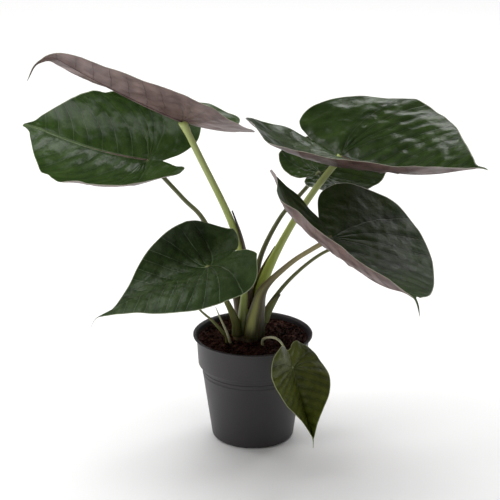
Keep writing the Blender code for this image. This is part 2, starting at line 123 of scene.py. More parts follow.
class Value:
    """A shader socket that takes part in ordinary Python arithmetic."""

    def __init__(self, graph: "Graph", socket: bpy.types.NodeSocket) -> None:
        """Keeps the socket and the graph it belongs to."""
        self.graph = graph
        self.socket = socket

    def __add__(self, other: "Value | float") -> "Value":
        """Sum."""
        return self.graph.math("ADD", self, other)

    def __sub__(self, other: "Value | float") -> "Value":
        """Difference."""
        return self.graph.math("SUBTRACT", self, other)

    def __rsub__(self, other: float) -> "Value":
        """Difference from a plain number."""
        return self.graph.math("SUBTRACT", other, self)

    def __mul__(self, other: "Value | float") -> "Value":
        """Product."""
        return self.graph.math("MULTIPLY", self, other)

    def __truediv__(self, other: "Value | float") -> "Value":
        """Quotient."""
        return self.graph.math("DIVIDE", self, other)

    __radd__ = __add__
    __rmul__ = __mul__


class Graph:
    """Node tree of one material, with its Principled shader."""

    def __init__(self, name: str) -> None:
        """Creates the material and keeps its shader node."""
        self.material = bpy.data.materials.new(name)
        self.material.use_nodes = True
        self.tree = self.material.node_tree
        self.shader = self.tree.nodes["Principled BSDF"]

    def link(self, source: object, target: bpy.types.NodeSocket) -> None:
        """Links a Value to a socket, or sets the socket to a plain value."""
        if isinstance(source, Value):
            self.tree.links.new(source.socket, target)
        elif isinstance(source, tuple) and len(source) == 3 and target.type == "RGBA":
            target.default_value = (*source, 1.0)
        else:
            target.default_value = source

    def node(self, kind: str, settings: dict | None = None, inputs: dict | None = None) -> bpy.types.Node:
        """Makes one node.

        Args:
            kind: type name of the node.
            settings: attributes set before anything is linked; "stops" fills a colour ramp.
            inputs: values or links, by socket name or index.

        Returns:
            The node.
        """
        made = self.tree.nodes.new(kind)
        for key, value in (settings or {}).items():
            if key == "stops":
                self.fill_ramp(made.color_ramp, value)
            else:
                setattr(made, key, value)
        for key, value in (inputs or {}).items():
            self.link(value, made.inputs[key])
        return made

    @staticmethod
    def fill_ramp(ramp: bpy.types.ColorRamp, stops: list[tuple[float, Colour]]) -> None:
        """Gives a ramp its stops.

        Args:
            ramp: the colour ramp.
            stops: places from 0 to 1 and their colours.
        """
        while len(ramp.elements) < len(stops):
            ramp.elements.new(1.0)
        for element, (place, colour) in zip(ramp.elements, stops):
            element.position = place
            element.color = (*colour, 1.0)

    def math(self, operation: str, *values: "Value | float", clamp: bool = False) -> Value:
        """Result of a Math node.

        Args:
            operation: the Math node's operation.
            values: its inputs, in order.
            clamp: whether the result is held between 0 and 1.

        Returns:
            The result.
        """
        made = self.node(
            "ShaderNodeMath", {"operation": operation, "use_clamp": clamp}, dict(enumerate(values))
        )
        return Value(self, made.outputs[0])

    def smooth(self, value: Value, low: float, high: float) -> Value:
        """Smooth step from 0 at low to 1 at high, or the other way round where low is larger."""
        ends = {"Value": value, "From Min": low, "From Max": high}
        made = self.node("ShaderNodeMapRange", {"interpolation_type": "SMOOTHSTEP"}, ends)
        return Value(self, made.outputs["Result"])

    def mix(self, factor: "Value | float", first: "Value | Colour", second: "Value | Colour") -> Value:
        """Blend of two colours.

        Args:
            factor: 0 gives the first colour and 1 the second.
            first: colour at 0.
            second: colour at 1.

        Returns:
            The blended colour.
        """
        made = self.node("ShaderNodeMix", {"data_type": "RGBA"}, {0: factor, 6: first, 7: second})
        return Value(self, made.outputs[2])

    def ramp(self, factor: Value, stops: list[tuple[float, Colour]]) -> Value:
        """Colour of a ramp at a factor."""
        made = self.node("ShaderNodeValToRGB", {"stops": stops}, {"Fac": factor})
        return Value(self, made.outputs["Color"])

    def grain(self, place: Value, scale: float, detail: float = 2.0, roughness: float = 0.5) -> Value:
        """Noise from 0 to 1.

        Args:
            place: coordinates that it reads.
            scale: how fine it is.
            detail: octaves.
            roughness: weight of the finer octaves.

        Returns:
            The noise value.
        """
        inputs = {"Vector": place, "Scale": scale, "Detail": detail, "Roughness": roughness}
        return Value(self, self.node("ShaderNodeTexNoise", None, inputs).outputs["Fac"])

    def object_place(self) -> Value:
        """Object coordinates."""
        return Value(self, self.node("ShaderNodeTexCoord").outputs["Object"])

    def stretched(self, place: Value, scale: Point) -> Value:
        """Coordinates scaled on each axis."""
        inputs = {"Vector": place, "Scale": scale}
        return Value(self, self.node("ShaderNodeMapping", None, inputs).outputs["Vector"])

    def uv(self) -> tuple[Value, Value, Value]:
        """The piece's own UV map, whole and as its two parts."""
        place = Value(self, self.node("ShaderNodeUVMap", {"uv_map": "Along"}).outputs["UV"])
        parts = self.node("ShaderNodeSeparateXYZ", None, {"Vector": place})
        return place, Value(self, parts.outputs["X"]), Value(self, parts.outputs["Y"])

    def attribute(self, name: str) -> Value:
        """A number that the mesh holds at each point."""
        made = self.node("ShaderNodeAttribute", {"attribute_name": name})
        return Value(self, made.outputs["Fac"])

    def finish(
        self, colour: Value, roughness: "Value | float", height: Value, depth: float
    ) -> bpy.types.Material:
        """Joins the finished colour, roughness and relief to the shader.

        Args:
            colour: base colour.
            roughness: surface roughness.
            height: relief from 0 to 1.
            depth: height of the relief in metres.

        Returns:
            The material.
        """
        self.link(colour, self.shader.inputs["Base Color"])
        self.link(roughness, self.shader.inputs["Roughness"])
        bump = self.node("ShaderNodeBump", None, {"Strength": 1.0, "Distance": depth, "Height": height})
        self.link(Value(self, bump.outputs["Normal"]), self.shader.inputs["Normal"])
        return self.material


# ---------------------------------------------------------------- finishes


@dataclass(frozen=True)
class VeinPattern:
    """Side veins that leave the midrib and bow forward, and a fan of veins into the two lobes."""

    spacing: float = 0.118
    slant: float = 0.42
    bow: float = 0.55
    fan: float = 0.30
    hub: float = 0.02
    sway_scale: float = 7.0
    sway_along: float = 0.035
    sway_out: float = 0.020

    def phase(self, x: np.ndarray, reach: np.ndarray) -> np.ndarray:
        """Count of veins up to each point; a vein lies where it is whole.

        Args:
            x: places along the midrib.
            reach: distances from the midrib.

        Returns:
            The phase at each point.
        """
        start = x - self.slant * reach - self.bow * reach**2
        radius = np.maximum(np.hypot(x, reach), self.hub)
        return np.where(start > 0, start / self.spacing, start / (self.fan * radius))

    def shaded(self, graph: Graph, x: Value, reach: Value) -> tuple[Value, Value]:
        """The same pattern in a material.

        Args:
            graph: the material's graph.
            x: place along the midrib.
            reach: distance from the midrib.

        Returns:
            How far the point is between veins, from 0 on a vein to 0.5, and its distance from the vein.
        """
        start = x - reach * self.slant - reach * reach * self.bow
        radius = graph.math("MAXIMUM", graph.math("SQRT", x * x + reach * reach), self.hub)
        ahead = graph.math("GREATER_THAN", start, 0.0)
        pitch = ahead * self.spacing + (1 - ahead) * (radius * self.fan)
        between = graph.math("PINGPONG", start / pitch, 0.5)
        return between, between * pitch


class BladeField:
    """Coordinates and distances that both skins of a blade read."""

    def __init__(self, graph: Graph, pattern: VeinPattern) -> None:
        """Reads the blade's map and finds how far each point is from midrib, veins and margin.

        Args:
            graph: the material's graph.
            pattern: the blade's veins.
        """
        self.place, self.x, across = graph.uv()
        self.solid = graph.object_place()
        self.reach = graph.math("ABSOLUTE", across)
        sway = graph.grain(self.place, pattern.sway_scale, 3.0) - 0.5
        along = self.x + sway * pattern.sway_along
        self.between, self.away = pattern.shaded(graph, along, self.reach + sway * pattern.sway_out)
        self.edge = graph.attribute("edge")


@dataclass(frozen=True)
class BladeFinish:
    """Glossy upper skin of a blade: dark ground, lighter fields, painted shade in the creases by the veins,
    fine pale veins and a pale margin with a painted edge highlight.
    """

    ground: Colour
    field: Colour
    vein: Colour
    margin: Colour
    dark_tone_and_crease_shade: Colour
    gloss: float = 0.30
    specular: float = 0.42
    margin_width: float = 0.0014
    vein_strength: float = 0.45
    vein_width: float = 0.0052
    rib_width: float = 0.0095
    cell_scale: float = 46.0
    mottle_scale: float = 24.0
    speckle_scale: float = 260.0
    patch_scale: float = 5.0
    lump_scale: float = 13.0
    relief: float = 0.0022
    pattern: VeinPattern = VeinPattern()

    def build(self, name: str) -> bpy.types.Material:
        """Makes the material.

        Args:
            name: its name.

        Returns:
            The material.
        """
        graph = Graph(name)
        blade = BladeField(graph, self.pattern)
        vein = graph.smooth(blade.away, self.vein_width, 0.0012)
        rib = graph.smooth(blade.reach, self.rib_width, 0.0030) * graph.smooth(blade.x, -0.03, 0.02)
        net = graph.node(
            "ShaderNodeTexVoronoi",
            {"feature": "DISTANCE_TO_EDGE"},
            {"Vector": blade.place, "Scale": self.cell_scale},
        )
        cells = graph.smooth(Value(graph, net.outputs["Distance"]), 0.0, 0.16)
        mottle = graph.grain(blade.solid, self.mottle_scale, 4.0, 0.6)
        speckle = graph.grain(blade.solid, self.speckle_scale)
        # dome is 0 on the veins and 1 midway between them; besides the relief it paints the crease shade and
        # the lighter domes.
        dome = graph.smooth(blade.between, 0.02, 0.42)
        patch = graph.grain(blade.place, self.patch_scale, 3.0, 0.55)
        # Colour: painted crease shade by the veins over a random dark tone, then the ground, then the
        # lighter fields between them, with painted light on the domes.
        tone = dome * 0.14 + mottle * 0.40 + cells * 0.08 + patch * 0.50
        colour = graph.ramp(tone, [(0.34, self.dark_tone_and_crease_shade), (0.54, self.ground), (0.82, self.field)])
        fade = graph.smooth(patch, 0.30, 0.60)
        lines = graph.math("MAXIMUM", vein * fade * self.vein_strength, rib * 0.6)
        colour = graph.mix(lines, colour, self.vein)
        # Pale margin: partly the blade's own pale edge, partly a painted edge highlight.
        rim = graph.smooth(blade.edge, self.margin_width, self.margin_width * 0.35)
        colour = graph.mix(rim * 0.85, colour, self.margin)
        # Gloss and relief: broad soft lumps, sunken veins and a trace of fine grain.
        rough = mottle * 0.16 + speckle * 0.06 + (self.gloss - 0.11)
        lump_size = (self.lump_scale, self.lump_scale, 1.0)
        lumps = graph.grain(graph.stretched(blade.place, lump_size), 1.0)
        height = dome * 0.14 + lumps * 0.80 + cells * 0.02 + speckle * 0.010 - vein * 0.10 - rib * 0.2
        graph.shader.inputs["Specular IOR Level"].default_value = self.specular
        return graph.finish(colour, rough, height, self.relief)


@dataclass(frozen=True)
class UndersideFinish:
    """Satin lower skin of a blade: maroon with a dusty bloom, painted shade towards the veins, darker veins
    and a pale margin with a painted edge highlight.
    """

    ground: Colour = (0.072, 0.038, 0.033)
    bloom: Colour = (0.175, 0.112, 0.100)
    vein: Colour = (0.050, 0.020, 0.017)
    margin: Colour = (0.30, 0.24, 0.20)
    margin_width: float = 0.0016
    vein_width: float = 0.0070
    mottle_scale: float = 30.0
    streak_scale: Point = (9.0, 60.0, 1.0)
    speckle_scale: float = 300.0
    patch_scale: float = 6.0
    satin: float = 0.42
    relief: float = 0.0012
    pattern: VeinPattern = VeinPattern()

    def build(self, name: str) -> bpy.types.Material:
        """Makes the material.

        Args:
            name: its name.

        Returns:
            The material.
        """
        graph = Graph(name)
        blade = BladeField(graph, self.pattern)
        vein = graph.smooth(blade.away, self.vein_width, 0.0010)
        mottle = graph.grain(blade.solid, self.mottle_scale, 4.0, 0.6)
        streak = graph.grain(graph.stretched(blade.place, self.streak_scale), 1.0, 3.0)
        speckle = graph.grain(blade.solid, self.speckle_scale)
        patch = graph.smooth(graph.grain(blade.place, self.patch_scale, 3.0), 0.35, 0.65)
        dome = graph.smooth(blade.between, 0.0, 0.5)
        # The dome term makes the bloom stronger on the domes between the veins and the skin darker towards
        # them: painted light and shade.
        tone = mottle * 0.45 + streak * 0.20 + dome * 0.1 + patch * 0.22
        colour = graph.mix(graph.smooth(tone, 0.30, 0.72), self.ground, self.bloom)
        colour = graph.mix(vein * patch * 0.22, colour, self.vein)
        # Pale margin: partly the blade's own pale edge, partly a painted edge highlight.
        rim = graph.smooth(blade.edge, self.margin_width, 0.0005)
        colour = graph.mix(rim * 0.8, colour, self.margin)
        height = vein * patch * 0.25 + speckle * 0.05 + mottle * 0.35 + patch * 0.4
        return graph.finish(colour, speckle * 0.1 + self.satin, height, self.relief)


@dataclass(frozen=True)
class StalkFinish:
    """Skin of a petiole: a colour at the foot and another above, with fine streaks along it and, where its
    strength is set, a painted highlight band down its sides.
    """

    foot: Colour
    middle: Colour
    top: Colour
    streak: Colour = (0.09, 0.035, 0.030)
    streak_strength: float = 0.30
    # Colour and strength of the painted highlight band.
    painted_highlight: Colour = (0.34, 0.36, 0.07)
    painted_highlight_strength: float = 0.0
    light: Colour = (0.55, 0.60, 0.22)
    line_scale: Point = (26.0, 5.0, 1.0)
    blotch_scale: float = 45.0
    grain_scale: float = 420.0
    gloss: float = 0.36
    relief: float = 0.0005

    def build(self, name: str) -> bpy.types.Material:
        """Makes the material.

        Args:
            name: its name.

        Returns:
            The material.
        """
        graph = Graph(name)
        place, around, along = graph.uv()
        solid = graph.object_place()
        lines = graph.grain(graph.stretched(place, self.line_scale), 1.0, 4.0, 0.6)
        blotch = graph.grain(solid, self.blotch_scale, 3.0)
        sway = along + (blotch - 0.5) * 0.16
        colour = graph.ramp(sway, [(0.0, self.foot), (0.30, self.middle), (0.72, self.top)])
        marks = graph.smooth(lines * 0.7 + blotch * 0.3, 0.50, 0.68)
        colour = graph.mix(marks * self.streak_strength, colour, self.streak)
        # Painted highlight: a lighter band down two sides of the petiole's lower part.
        painted_highlight = graph.smooth(around, 0.42, 0.60) * graph.smooth(around, 0.86, 0.66)
        painted_highlight = painted_highlight * graph.smooth(along, 0.02, 0.12) * graph.smooth(along, 0.46, 0.20)
        colour = graph.mix(painted_highlight * self.painted_highlight_strength, colour, self.painted_highlight)
        colour = graph.mix(graph.smooth(lines, 0.52, 0.30) * 0.12, colour, self.light)
        height = lines * 0.6 + graph.grain(solid, self.grain_scale) * 0.2
        return graph.finish(colour, blotch * 0.12 + self.gloss, height, self.relief)


@dataclass(frozen=True)
class SheathFinish:
    """Papery sheath: green or brown in the middle, pale and pink along its edges, dry at its point."""

    middle: Colour
    edge: Colour
    point: Colour
    fibre_scale: Point = (14.0, 3.0, 1.0)
    dryness: float = 0.45
    relief: float = 0.0005

    def build(self, name: str) -> bpy.types.Material:
        """Makes the material.

        Args:
            name: its name.

        Returns:
            The material.
        """
        graph = Graph(name)
        place, across, along = graph.uv()
        fibre = graph.grain(graph.stretched(place, self.fibre_scale), 1.0, 4.0, 0.6)
        side = graph.math("ABSOLUTE", across)
        colour = graph.mix(graph.smooth(side + (fibre - 0.5) * 0.3, 0.45, 0.95), self.middle, self.edge)
        colour = graph.mix(graph.smooth(along + (fibre - 0.5) * 0.4, 0.62, 1.0), colour, self.point)
        return graph.finish(colour, fibre * 0.2 + self.dryness, fibre, self.relief)


@dataclass(frozen=True)
class SoilFinish:
    """Coarse coir and bark mix: near-black crumbs, reddish fibres and tan flecks."""

    dark: Colour = (0.0040, 0.0020, 0.0014)
    red: Colour = (0.0360, 0.0120, 0.0070)
    tan: Colour = (0.1300, 0.0600, 0.0400)
    crumb_scale: float = 180.0
    patch_scale: float = 26.0
    dust_scale: float = 700.0
    specular: float = 0.18
    relief: float = 0.0012

    def build(self, name: str) -> bpy.types.Material:
        """Makes the material.

        Args:
            name: its name.

        Returns:
            The material.
        """
        graph = Graph(name)
        solid = graph.object_place()
        crumb = graph.grain(solid, self.crumb_scale, 4.0, 0.7)
        patch = graph.grain(solid, self.patch_scale, 3.0)
        tone = graph.attribute("tone") * 0.55 + crumb * 0.30 + patch * 0.25
        colour = graph.ramp(tone, [(0.30, self.dark), (0.62, self.red), (0.92, self.tan)])
        height = crumb * 0.7 + graph.grain(solid, self.dust_scale) * 0.3
        graph.shader.inputs["Specular IOR Level"].default_value = self.specular
        return graph.finish(colour, patch * 0.2 + 0.68, height, self.relief)


@dataclass(frozen=True)
class CormFinish:
    """Fibrous skin of the corm, banded with old leaf scars."""

    skin: Colour = (0.085, 0.070, 0.024)
    scar: Colour = (0.045, 0.026, 0.014)
    fibre_scale: Point = (240.0, 240.0, 36.0)
    band_scale: Point = (12.0, 12.0, 420.0)
    relief: float = 0.0012

    def build(self, name: str) -> bpy.types.Material:
        """Makes the material.

        Args:
            name: its name.

        Returns:
            The material.
        """
        graph = Graph(name)
        solid = graph.object_place()
        fibre = graph.grain(graph.stretched(solid, self.fibre_scale), 1.0, 4.0, 0.6)
        height = fibre * 0.6 + graph.grain(graph.stretched(solid, self.band_scale), 1.0) * 0.4
        colour = graph.mix(graph.smooth(height, 0.40, 0.62), self.skin, self.scar)
        return graph.finish(colour, fibre * 0.2 + 0.55, height, self.relief)


@dataclass(frozen=True)
class PotFinish:
    """Injection-moulded charcoal plastic with a fine matte grain and faint handling marks."""

    ground: Colour = (0.0205, 0.0180, 0.0192)
    worn: Colour = (0.0360, 0.0315, 0.0330)
    grain_scale: float = 900.0
    cloud_scale: float = 14.0
    scuff_scale: Point = (40.0, 40.0, 260.0)
    matte: float = 0.40
    relief: float = 0.00022

    def build(self, name: str) -> bpy.types.Material:
        """Makes the material.

        Args:
            name: its name.

        Returns:
            The material.
        """
        graph = Graph(name)
        solid = graph.object_place()
        grain = graph.grain(solid, self.grain_scale)
        cloud = graph.grain(solid, self.cloud_scale, 4.0, 0.6)
        scuff = graph.grain(graph.stretched(solid, self.scuff_scale), 1.0, 4.0, 0.65)
        marks = graph.smooth(scuff, 0.60, 0.74)
        colour = graph.mix(cloud * 0.45 + marks * 0.25, self.ground, self.worn)
        rough = cloud * 0.14 + marks * 0.10 + self.matte
        return graph.finish(colour, rough, grain * 0.7 + scuff * 0.3, self.relief)


@dataclass(frozen=True)
class FloorFinish:
    """Plain pale studio floor."""

    paint: Colour = (0.90, 0.90, 0.90)
    light: Colour = (0.92, 0.92, 0.915)
    cloud_scale: float = 3.0

    def build(self, name: str) -> bpy.types.Material:
        """Makes the material.

        Args:
            name: its name.

        Returns:
            The material.
        """
        graph = Graph(name)
        soft = graph.grain(graph.object_place(), self.cloud_scale)
        return graph.finish(graph.mix(soft * 0.5, self.paint, self.light), 0.9, soft, 0.0001)


class BladeAge(Enum):
    """How old a blade is, which sets its upper skin."""

    DARK = BladeFinish(
        ground=(0.0145, 0.0300, 0.0035), field=(0.0330, 0.0620, 0.0080), vein=(0.070, 0.100, 0.035),
        margin=(0.44, 0.45, 0.34), dark_tone_and_crease_shade=(0.0064, 0.0140, 0.0022), gloss=0.34, vein_strength=0.35,
    )
    DUSKY = BladeFinish(
        ground=(0.0220, 0.0460, 0.0070), field=(0.0450, 0.0800, 0.0150), vein=(0.080, 0.115, 0.045),
        margin=(0.44, 0.45, 0.34), dark_tone_and_crease_shade=(0.0080, 0.0140, 0.0040), gloss=0.44, vein_strength=0.40,
    )
    GREEN = BladeFinish(
        ground=(0.0235, 0.0500, 0.0075), field=(0.0500, 0.0930, 0.0180), vein=(0.110, 0.160, 0.056),
        margin=(0.33, 0.37, 0.22), dark_tone_and_crease_shade=(0.0110, 0.0265, 0.0045), gloss=0.36, vein_strength=0.38,
    )
    SATIN = BladeFinish(
        ground=(0.0195, 0.0400, 0.0070), field=(0.0420, 0.0740, 0.0170), vein=(0.120, 0.165, 0.080),
        margin=(0.30, 0.34, 0.20), dark_tone_and_crease_shade=(0.0090, 0.0195, 0.0035), gloss=0.46, vein_strength=0.65,
    )
    YOUNG = BladeFinish(
        ground=(0.056, 0.070, 0.0055), field=(0.115, 0.135, 0.0160), vein=(0.150, 0.165, 0.050),
        margin=(0.30, 0.32, 0.15), dark_tone_and_crease_shade=(0.020, 0.027, 0.0040), gloss=0.42, vein_strength=0.25,
    )


YOUNG_UNDERSIDE = UndersideFinish(
    ground=(0.070, 0.100, 0.035), bloom=(0.130, 0.160, 0.075), vein=(0.050, 0.060, 0.022),
    margin=(0.34, 0.36, 0.22),
)
YELLOW_GREEN = StalkFinish(
    foot=(0.050, 0.062, 0.005), middle=(0.32, 0.40, 0.050), top=(0.38, 0.43, 0.15), streak_strength=0.10
)
DARK_OLIVE = StalkFinish(
    foot=(0.060, 0.030, 0.018), middle=(0.065, 0.070, 0.028), top=(0.120, 0.135, 0.052)
)
ROSY_OLIVE = StalkFinish(
    foot=(0.020, 0.019, 0.002), middle=(0.066, 0.052, 0.013), top=(0.24, 0.205, 0.09),
    streak_strength=0.25, painted_highlight_strength=0.55,
)
PALE_STALK = StalkFinish(
    foot=(0.14, 0.13, 0.05), middle=(0.42, 0.40, 0.27), top=(0.34, 0.36, 0.20), streak_strength=0.08
)
OLIVE = StalkFinish(
    foot=(0.050, 0.050, 0.006), middle=(0.110, 0.120, 0.030), top=(0.17, 0.185, 0.07), streak_strength=0.16
)
DRY_BROWN = SheathFinish(
    middle=(0.060, 0.045, 0.014), edge=(0.040, 0.018, 0.011), point=(0.022, 0.011, 0.008)
)
PINK_EDGED = SheathFinish(
    middle=(0.24, 0.27, 0.05), edge=(0.46, 0.28, 0.20), point=(0.22, 0.16, 0.07)
)
FRESH_GREEN = SheathFinish(
    middle=(0.125, 0.145, 0.022), edge=(0.26, 0.24, 0.09), point=(0.05, 0.05, 0.018)
)


# ---------------------------------------------------------------- mesh work


class Bench:
    """Modelling steps that several pieces share."""

    @staticmethod
    def clear_selection() -> None:
        """Leaves edit mode and deselects everything."""
        if bpy.context.object and bpy.context.object.mode != "OBJECT":
            bpy.ops.object.mode_set(mode="OBJECT")
        bpy.ops.object.select_all(action="DESELECT")

    @staticmethod
    def pick(piece: bpy.types.Object) -> None:
        """Selects one piece alone and makes it active."""
        Bench.clear_selection()
        piece.select_set(True)
        bpy.context.view_layer.objects.active = piece

    @staticmethod
    def turned(name: str, profile: list[tuple[float, float]], sides: int) -> bpy.types.Object:
        """Turns a profile about the upright axis, a ring at a time.

        Args:
            name: name of the piece.
            profile: (radius, height) points, from the middle of the inside to the middle of the underside.
            sides: points round each ring.

        Returns:
            The closed piece.
        """
        Bench.clear_selection()
        radius, height = profile[0]
        bpy.ops.mesh.primitive_circle_add(
            vertices=sides, radius=radius, fill_type="NGON", location=(0.0, 0.0, height)
        )
        piece = bpy.context.object
        piece.name = name
        bpy.ops.object.transform_apply(location=True, rotation=True, scale=True)
        bpy.ops.object.mode_set(mode="EDIT")
        bpy.ops.mesh.select_mode(type="EDGE")
        bpy.ops.mesh.select_all(action="SELECT")
        bpy.ops.mesh.region_to_loop()
        for (before, low), (after, high) in zip(profile, profile[1:]):
            bpy.ops.mesh.extrude_edges_move(TRANSFORM_OT_translate={"value": (0.0, 0.0, high - low)})
            share = after / before
            bpy.ops.transform.resize(value=(share, share, 1.0), center_override=(0.0, 0.0, high))
        bpy.ops.mesh.edge_face_add()
        bpy.ops.mesh.select_all(action="SELECT")
        bpy.ops.mesh.normals_make_consistent(inside=False)
        bpy.ops.object.mode_set(mode="OBJECT")
        return piece

    @staticmethod
    def apply(piece: bpy.types.Object, kind: str, **settings: object) -> None:
        """Adds a modifier with its settings and applies it.

        Args:
            piece: the piece it changes.
            kind: type of modifier.
            settings: its attributes.
        """
        Bench.pick(piece)
        step = piece.modifiers.new(kind.title(), kind)
        for key, value in settings.items():
            setattr(step, key, value)
        bpy.ops.object.modifier_apply(modifier=step.name)

    @staticmethod
    def cut(piece: bpy.types.Object) -> None:
        """Cuts the active tool body out of a piece and throws the tool away."""
        tool = bpy.context.object
        Bench.apply(piece, "BOOLEAN", object=tool, operation="DIFFERENCE", solver="EXACT")
        bpy.data.objects.remove(tool, do_unlink=True)

    @staticmethod
    def smooth(piece: bpy.types.Object, angle: float) -> None:
        """Shades a piece smooth up to an angle in degrees."""
        Bench.pick(piece)
        bpy.ops.object.shade_smooth_by_angle(angle=math.radians(angle))

    @staticmethod
    def mesh(
        name: str,
        points: np.ndarray,
        faces: Faces,
        uv: np.ndarray | None = None,
        values: dict[str, np.ndarray] | None = None,
    ) -> bpy.types.Object:
        """Makes a smooth mesh piece from points and faces.

        Args:
            name: name of the piece.
            points: its points.
            faces: its faces, counter-clockwise from outside.
            uv: two numbers for each point, for the map named Along.
            values: further numbers for each point, by attribute name.

        Returns:
            The piece.
        """
        data = bpy.data.meshes.new(name)
        data.from_pydata(points.tolist(), [], faces)
        if uv is not None:
            corners = np.empty(len(data.loops), np.int32)
            data.loops.foreach_get("vertex_index", corners)
            layer = data.uv_layers.new(name="Along")
            layer.data.foreach_set("uv", uv[corners].astype(np.float32).ravel())
        for key, numbers in (values or {}).items():
            layer = data.attributes.new(key, "FLOAT", "POINT")
            layer.data.foreach_set("value", numbers.astype(np.float32))
        data.shade_smooth()
        return Bench.placed(name, data)

    @staticmethod
    def placed(name: str, data: bpy.types.ID, place: Point = (0.0, 0.0, 0.0)) -> bpy.types.Object:
        """Puts an object with its data into the scene.

        Args:
            name: name of the object.
            data: its mesh, camera or light.
            place: where it stands.

        Returns:
            The object.
        """
        made = bpy.data.objects.new(name, data)
        made.location = place
        bpy.context.scene.collection.objects.link(made)
        return made

    @staticmethod
    def hand_over(piece: bpy.types.Object, slot: str, *nodes: str) -> None:
        """Puts a finished piece on the frame.

        Args:
            piece: the piece.
            slot: not used.
            nodes: CAD nodes that it stands for.
        """
        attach(piece, "root")
        if nodes:
            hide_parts(*nodes)
        LOG.info("%s: %d faces", piece.name, len(piece.data.polygons))


def eased(value: np.ndarray | float) -> np.ndarray:
    """Smooth step from 0 to 1."""
    held = np.clip(value, 0.0, 1.0)
    return held * held * (3 - 2 * held)


def shares_along(route: np.ndarray) -> np.ndarray:
    """Share of a route's length up to each of its points."""
    runs = np.concatenate([[0.0], np.cumsum(np.linalg.norm(np.diff(route, axis=0), axis=1))])
    return runs / runs[-1]


def read_line(where: np.ndarray | float, stations: np.ndarray, line: np.ndarray) -> np.ndarray:
    """Points or directions of a line, read between its stations."""
    return np.stack([np.interp(where, stations, line[:, axis]) for axis in range(3)], -1)


def flat_noise(flat: np.ndarray, scale: float, seed: float) -> np.ndarray:
    """Noise from -1 to 1 at flat points."""
    return np.array([noise.noise(Vector((x * scale, y * scale, seed))) for x, y in flat])


def above_rim(points: tuple[Point, ...], rim: float) -> list[np.ndarray]:
    """Places given above the pot's rim, raised to it."""
    return [np.array(point) + (0.0, 0.0, rim) for point in points]


def smooth_line(points: list[np.ndarray], steps: int) -> np.ndarray:
    """A smooth curve through points.

    Args:
        points: places that it passes.
        steps: pieces between two places.

    Returns:
        The points of the curve.
    """
    ends = [2 * points[0] - points[1], *points, 2 * points[-1] - points[-2]]
    line = []
    for before, start, end, after in zip(ends, ends[1:], ends[2:], ends[3:]):
        for t in np.arange(steps) / steps:
            line.append(
                0.5 * (2 * start + (end - before) * t
                + (2 * before - 5 * start + 4 * end - after) * t**2
                + (3 * start - before - 3 * end + after) * t**3)
            )
    return np.array([*line, points[-1]])


def tube(
    route: np.ndarray, radii: np.ndarray, sides: int, first: int = 0
) -> tuple[np.ndarray, Faces, np.ndarray]:
    """A closed round tube along a route.

    Args:
        route: centre points.
        radii: radius at each of them.
        sides: points round it.
        first: number of its first point in the mesh it joins.

    Returns:
        Its points, faces and map of (share round, share along).
    """
    ahead = np.gradient(route, axis=0)
    ahead /= np.linalg.norm(ahead, axis=1)[:, None]
    guide = (0.0, 1.0, 0.0) if abs(ahead[:, 1]).max() < 0.9 else (1.0, 0.0, 0.0)
    side = np.cross(ahead, guide)
    side /= np.linalg.norm(side, axis=1)[:, None]
    other = np.cross(ahead, side)
    turn = math.tau * np.arange(sides) / sides
    ring = side[:, None] * np.cos(turn)[None, :, None] + other[:, None] * np.sin(turn)[None, :, None]
    points = (route[:, None] + ring * radii[:, None, None]).reshape(-1, 3)
    last = first + (len(route) - 1) * sides
    faces = ring_faces(first, len(route), sides)
    faces.append(tuple(first + index for index in reversed(range(sides))))
    faces.append(tuple(last + index for index in range(sides)))
    round_share = np.abs(2 * np.arange(sides) / sides - 1)
    uv = np.stack([np.tile(round_share, len(route)), np.repeat(shares_along(route), sides)], -1)
    return points, faces, uv


def ring_faces(first: int, rings: int, count: int, reverse: bool = False) -> Faces:
    """Four-sided faces between closed rings of points.

    Args:
        first: number of the first point.
        rings: how many rings there are.
        count: points in each.
        reverse: whether the faces turn the other way.

    Returns:
        The faces.
    """
    faces = []
    for low in range(first, first + (rings - 1) * count, count):
        high = low + count
        for index in range(count):
            after = (index + 1) % count
            if reverse:
                faces.append((low + index, high + index, high + after, low + after))
            else:
                faces.append((low + index, low + after, high + after, high + index))
    return faces


# ---------------------------------------------------------------- the plant


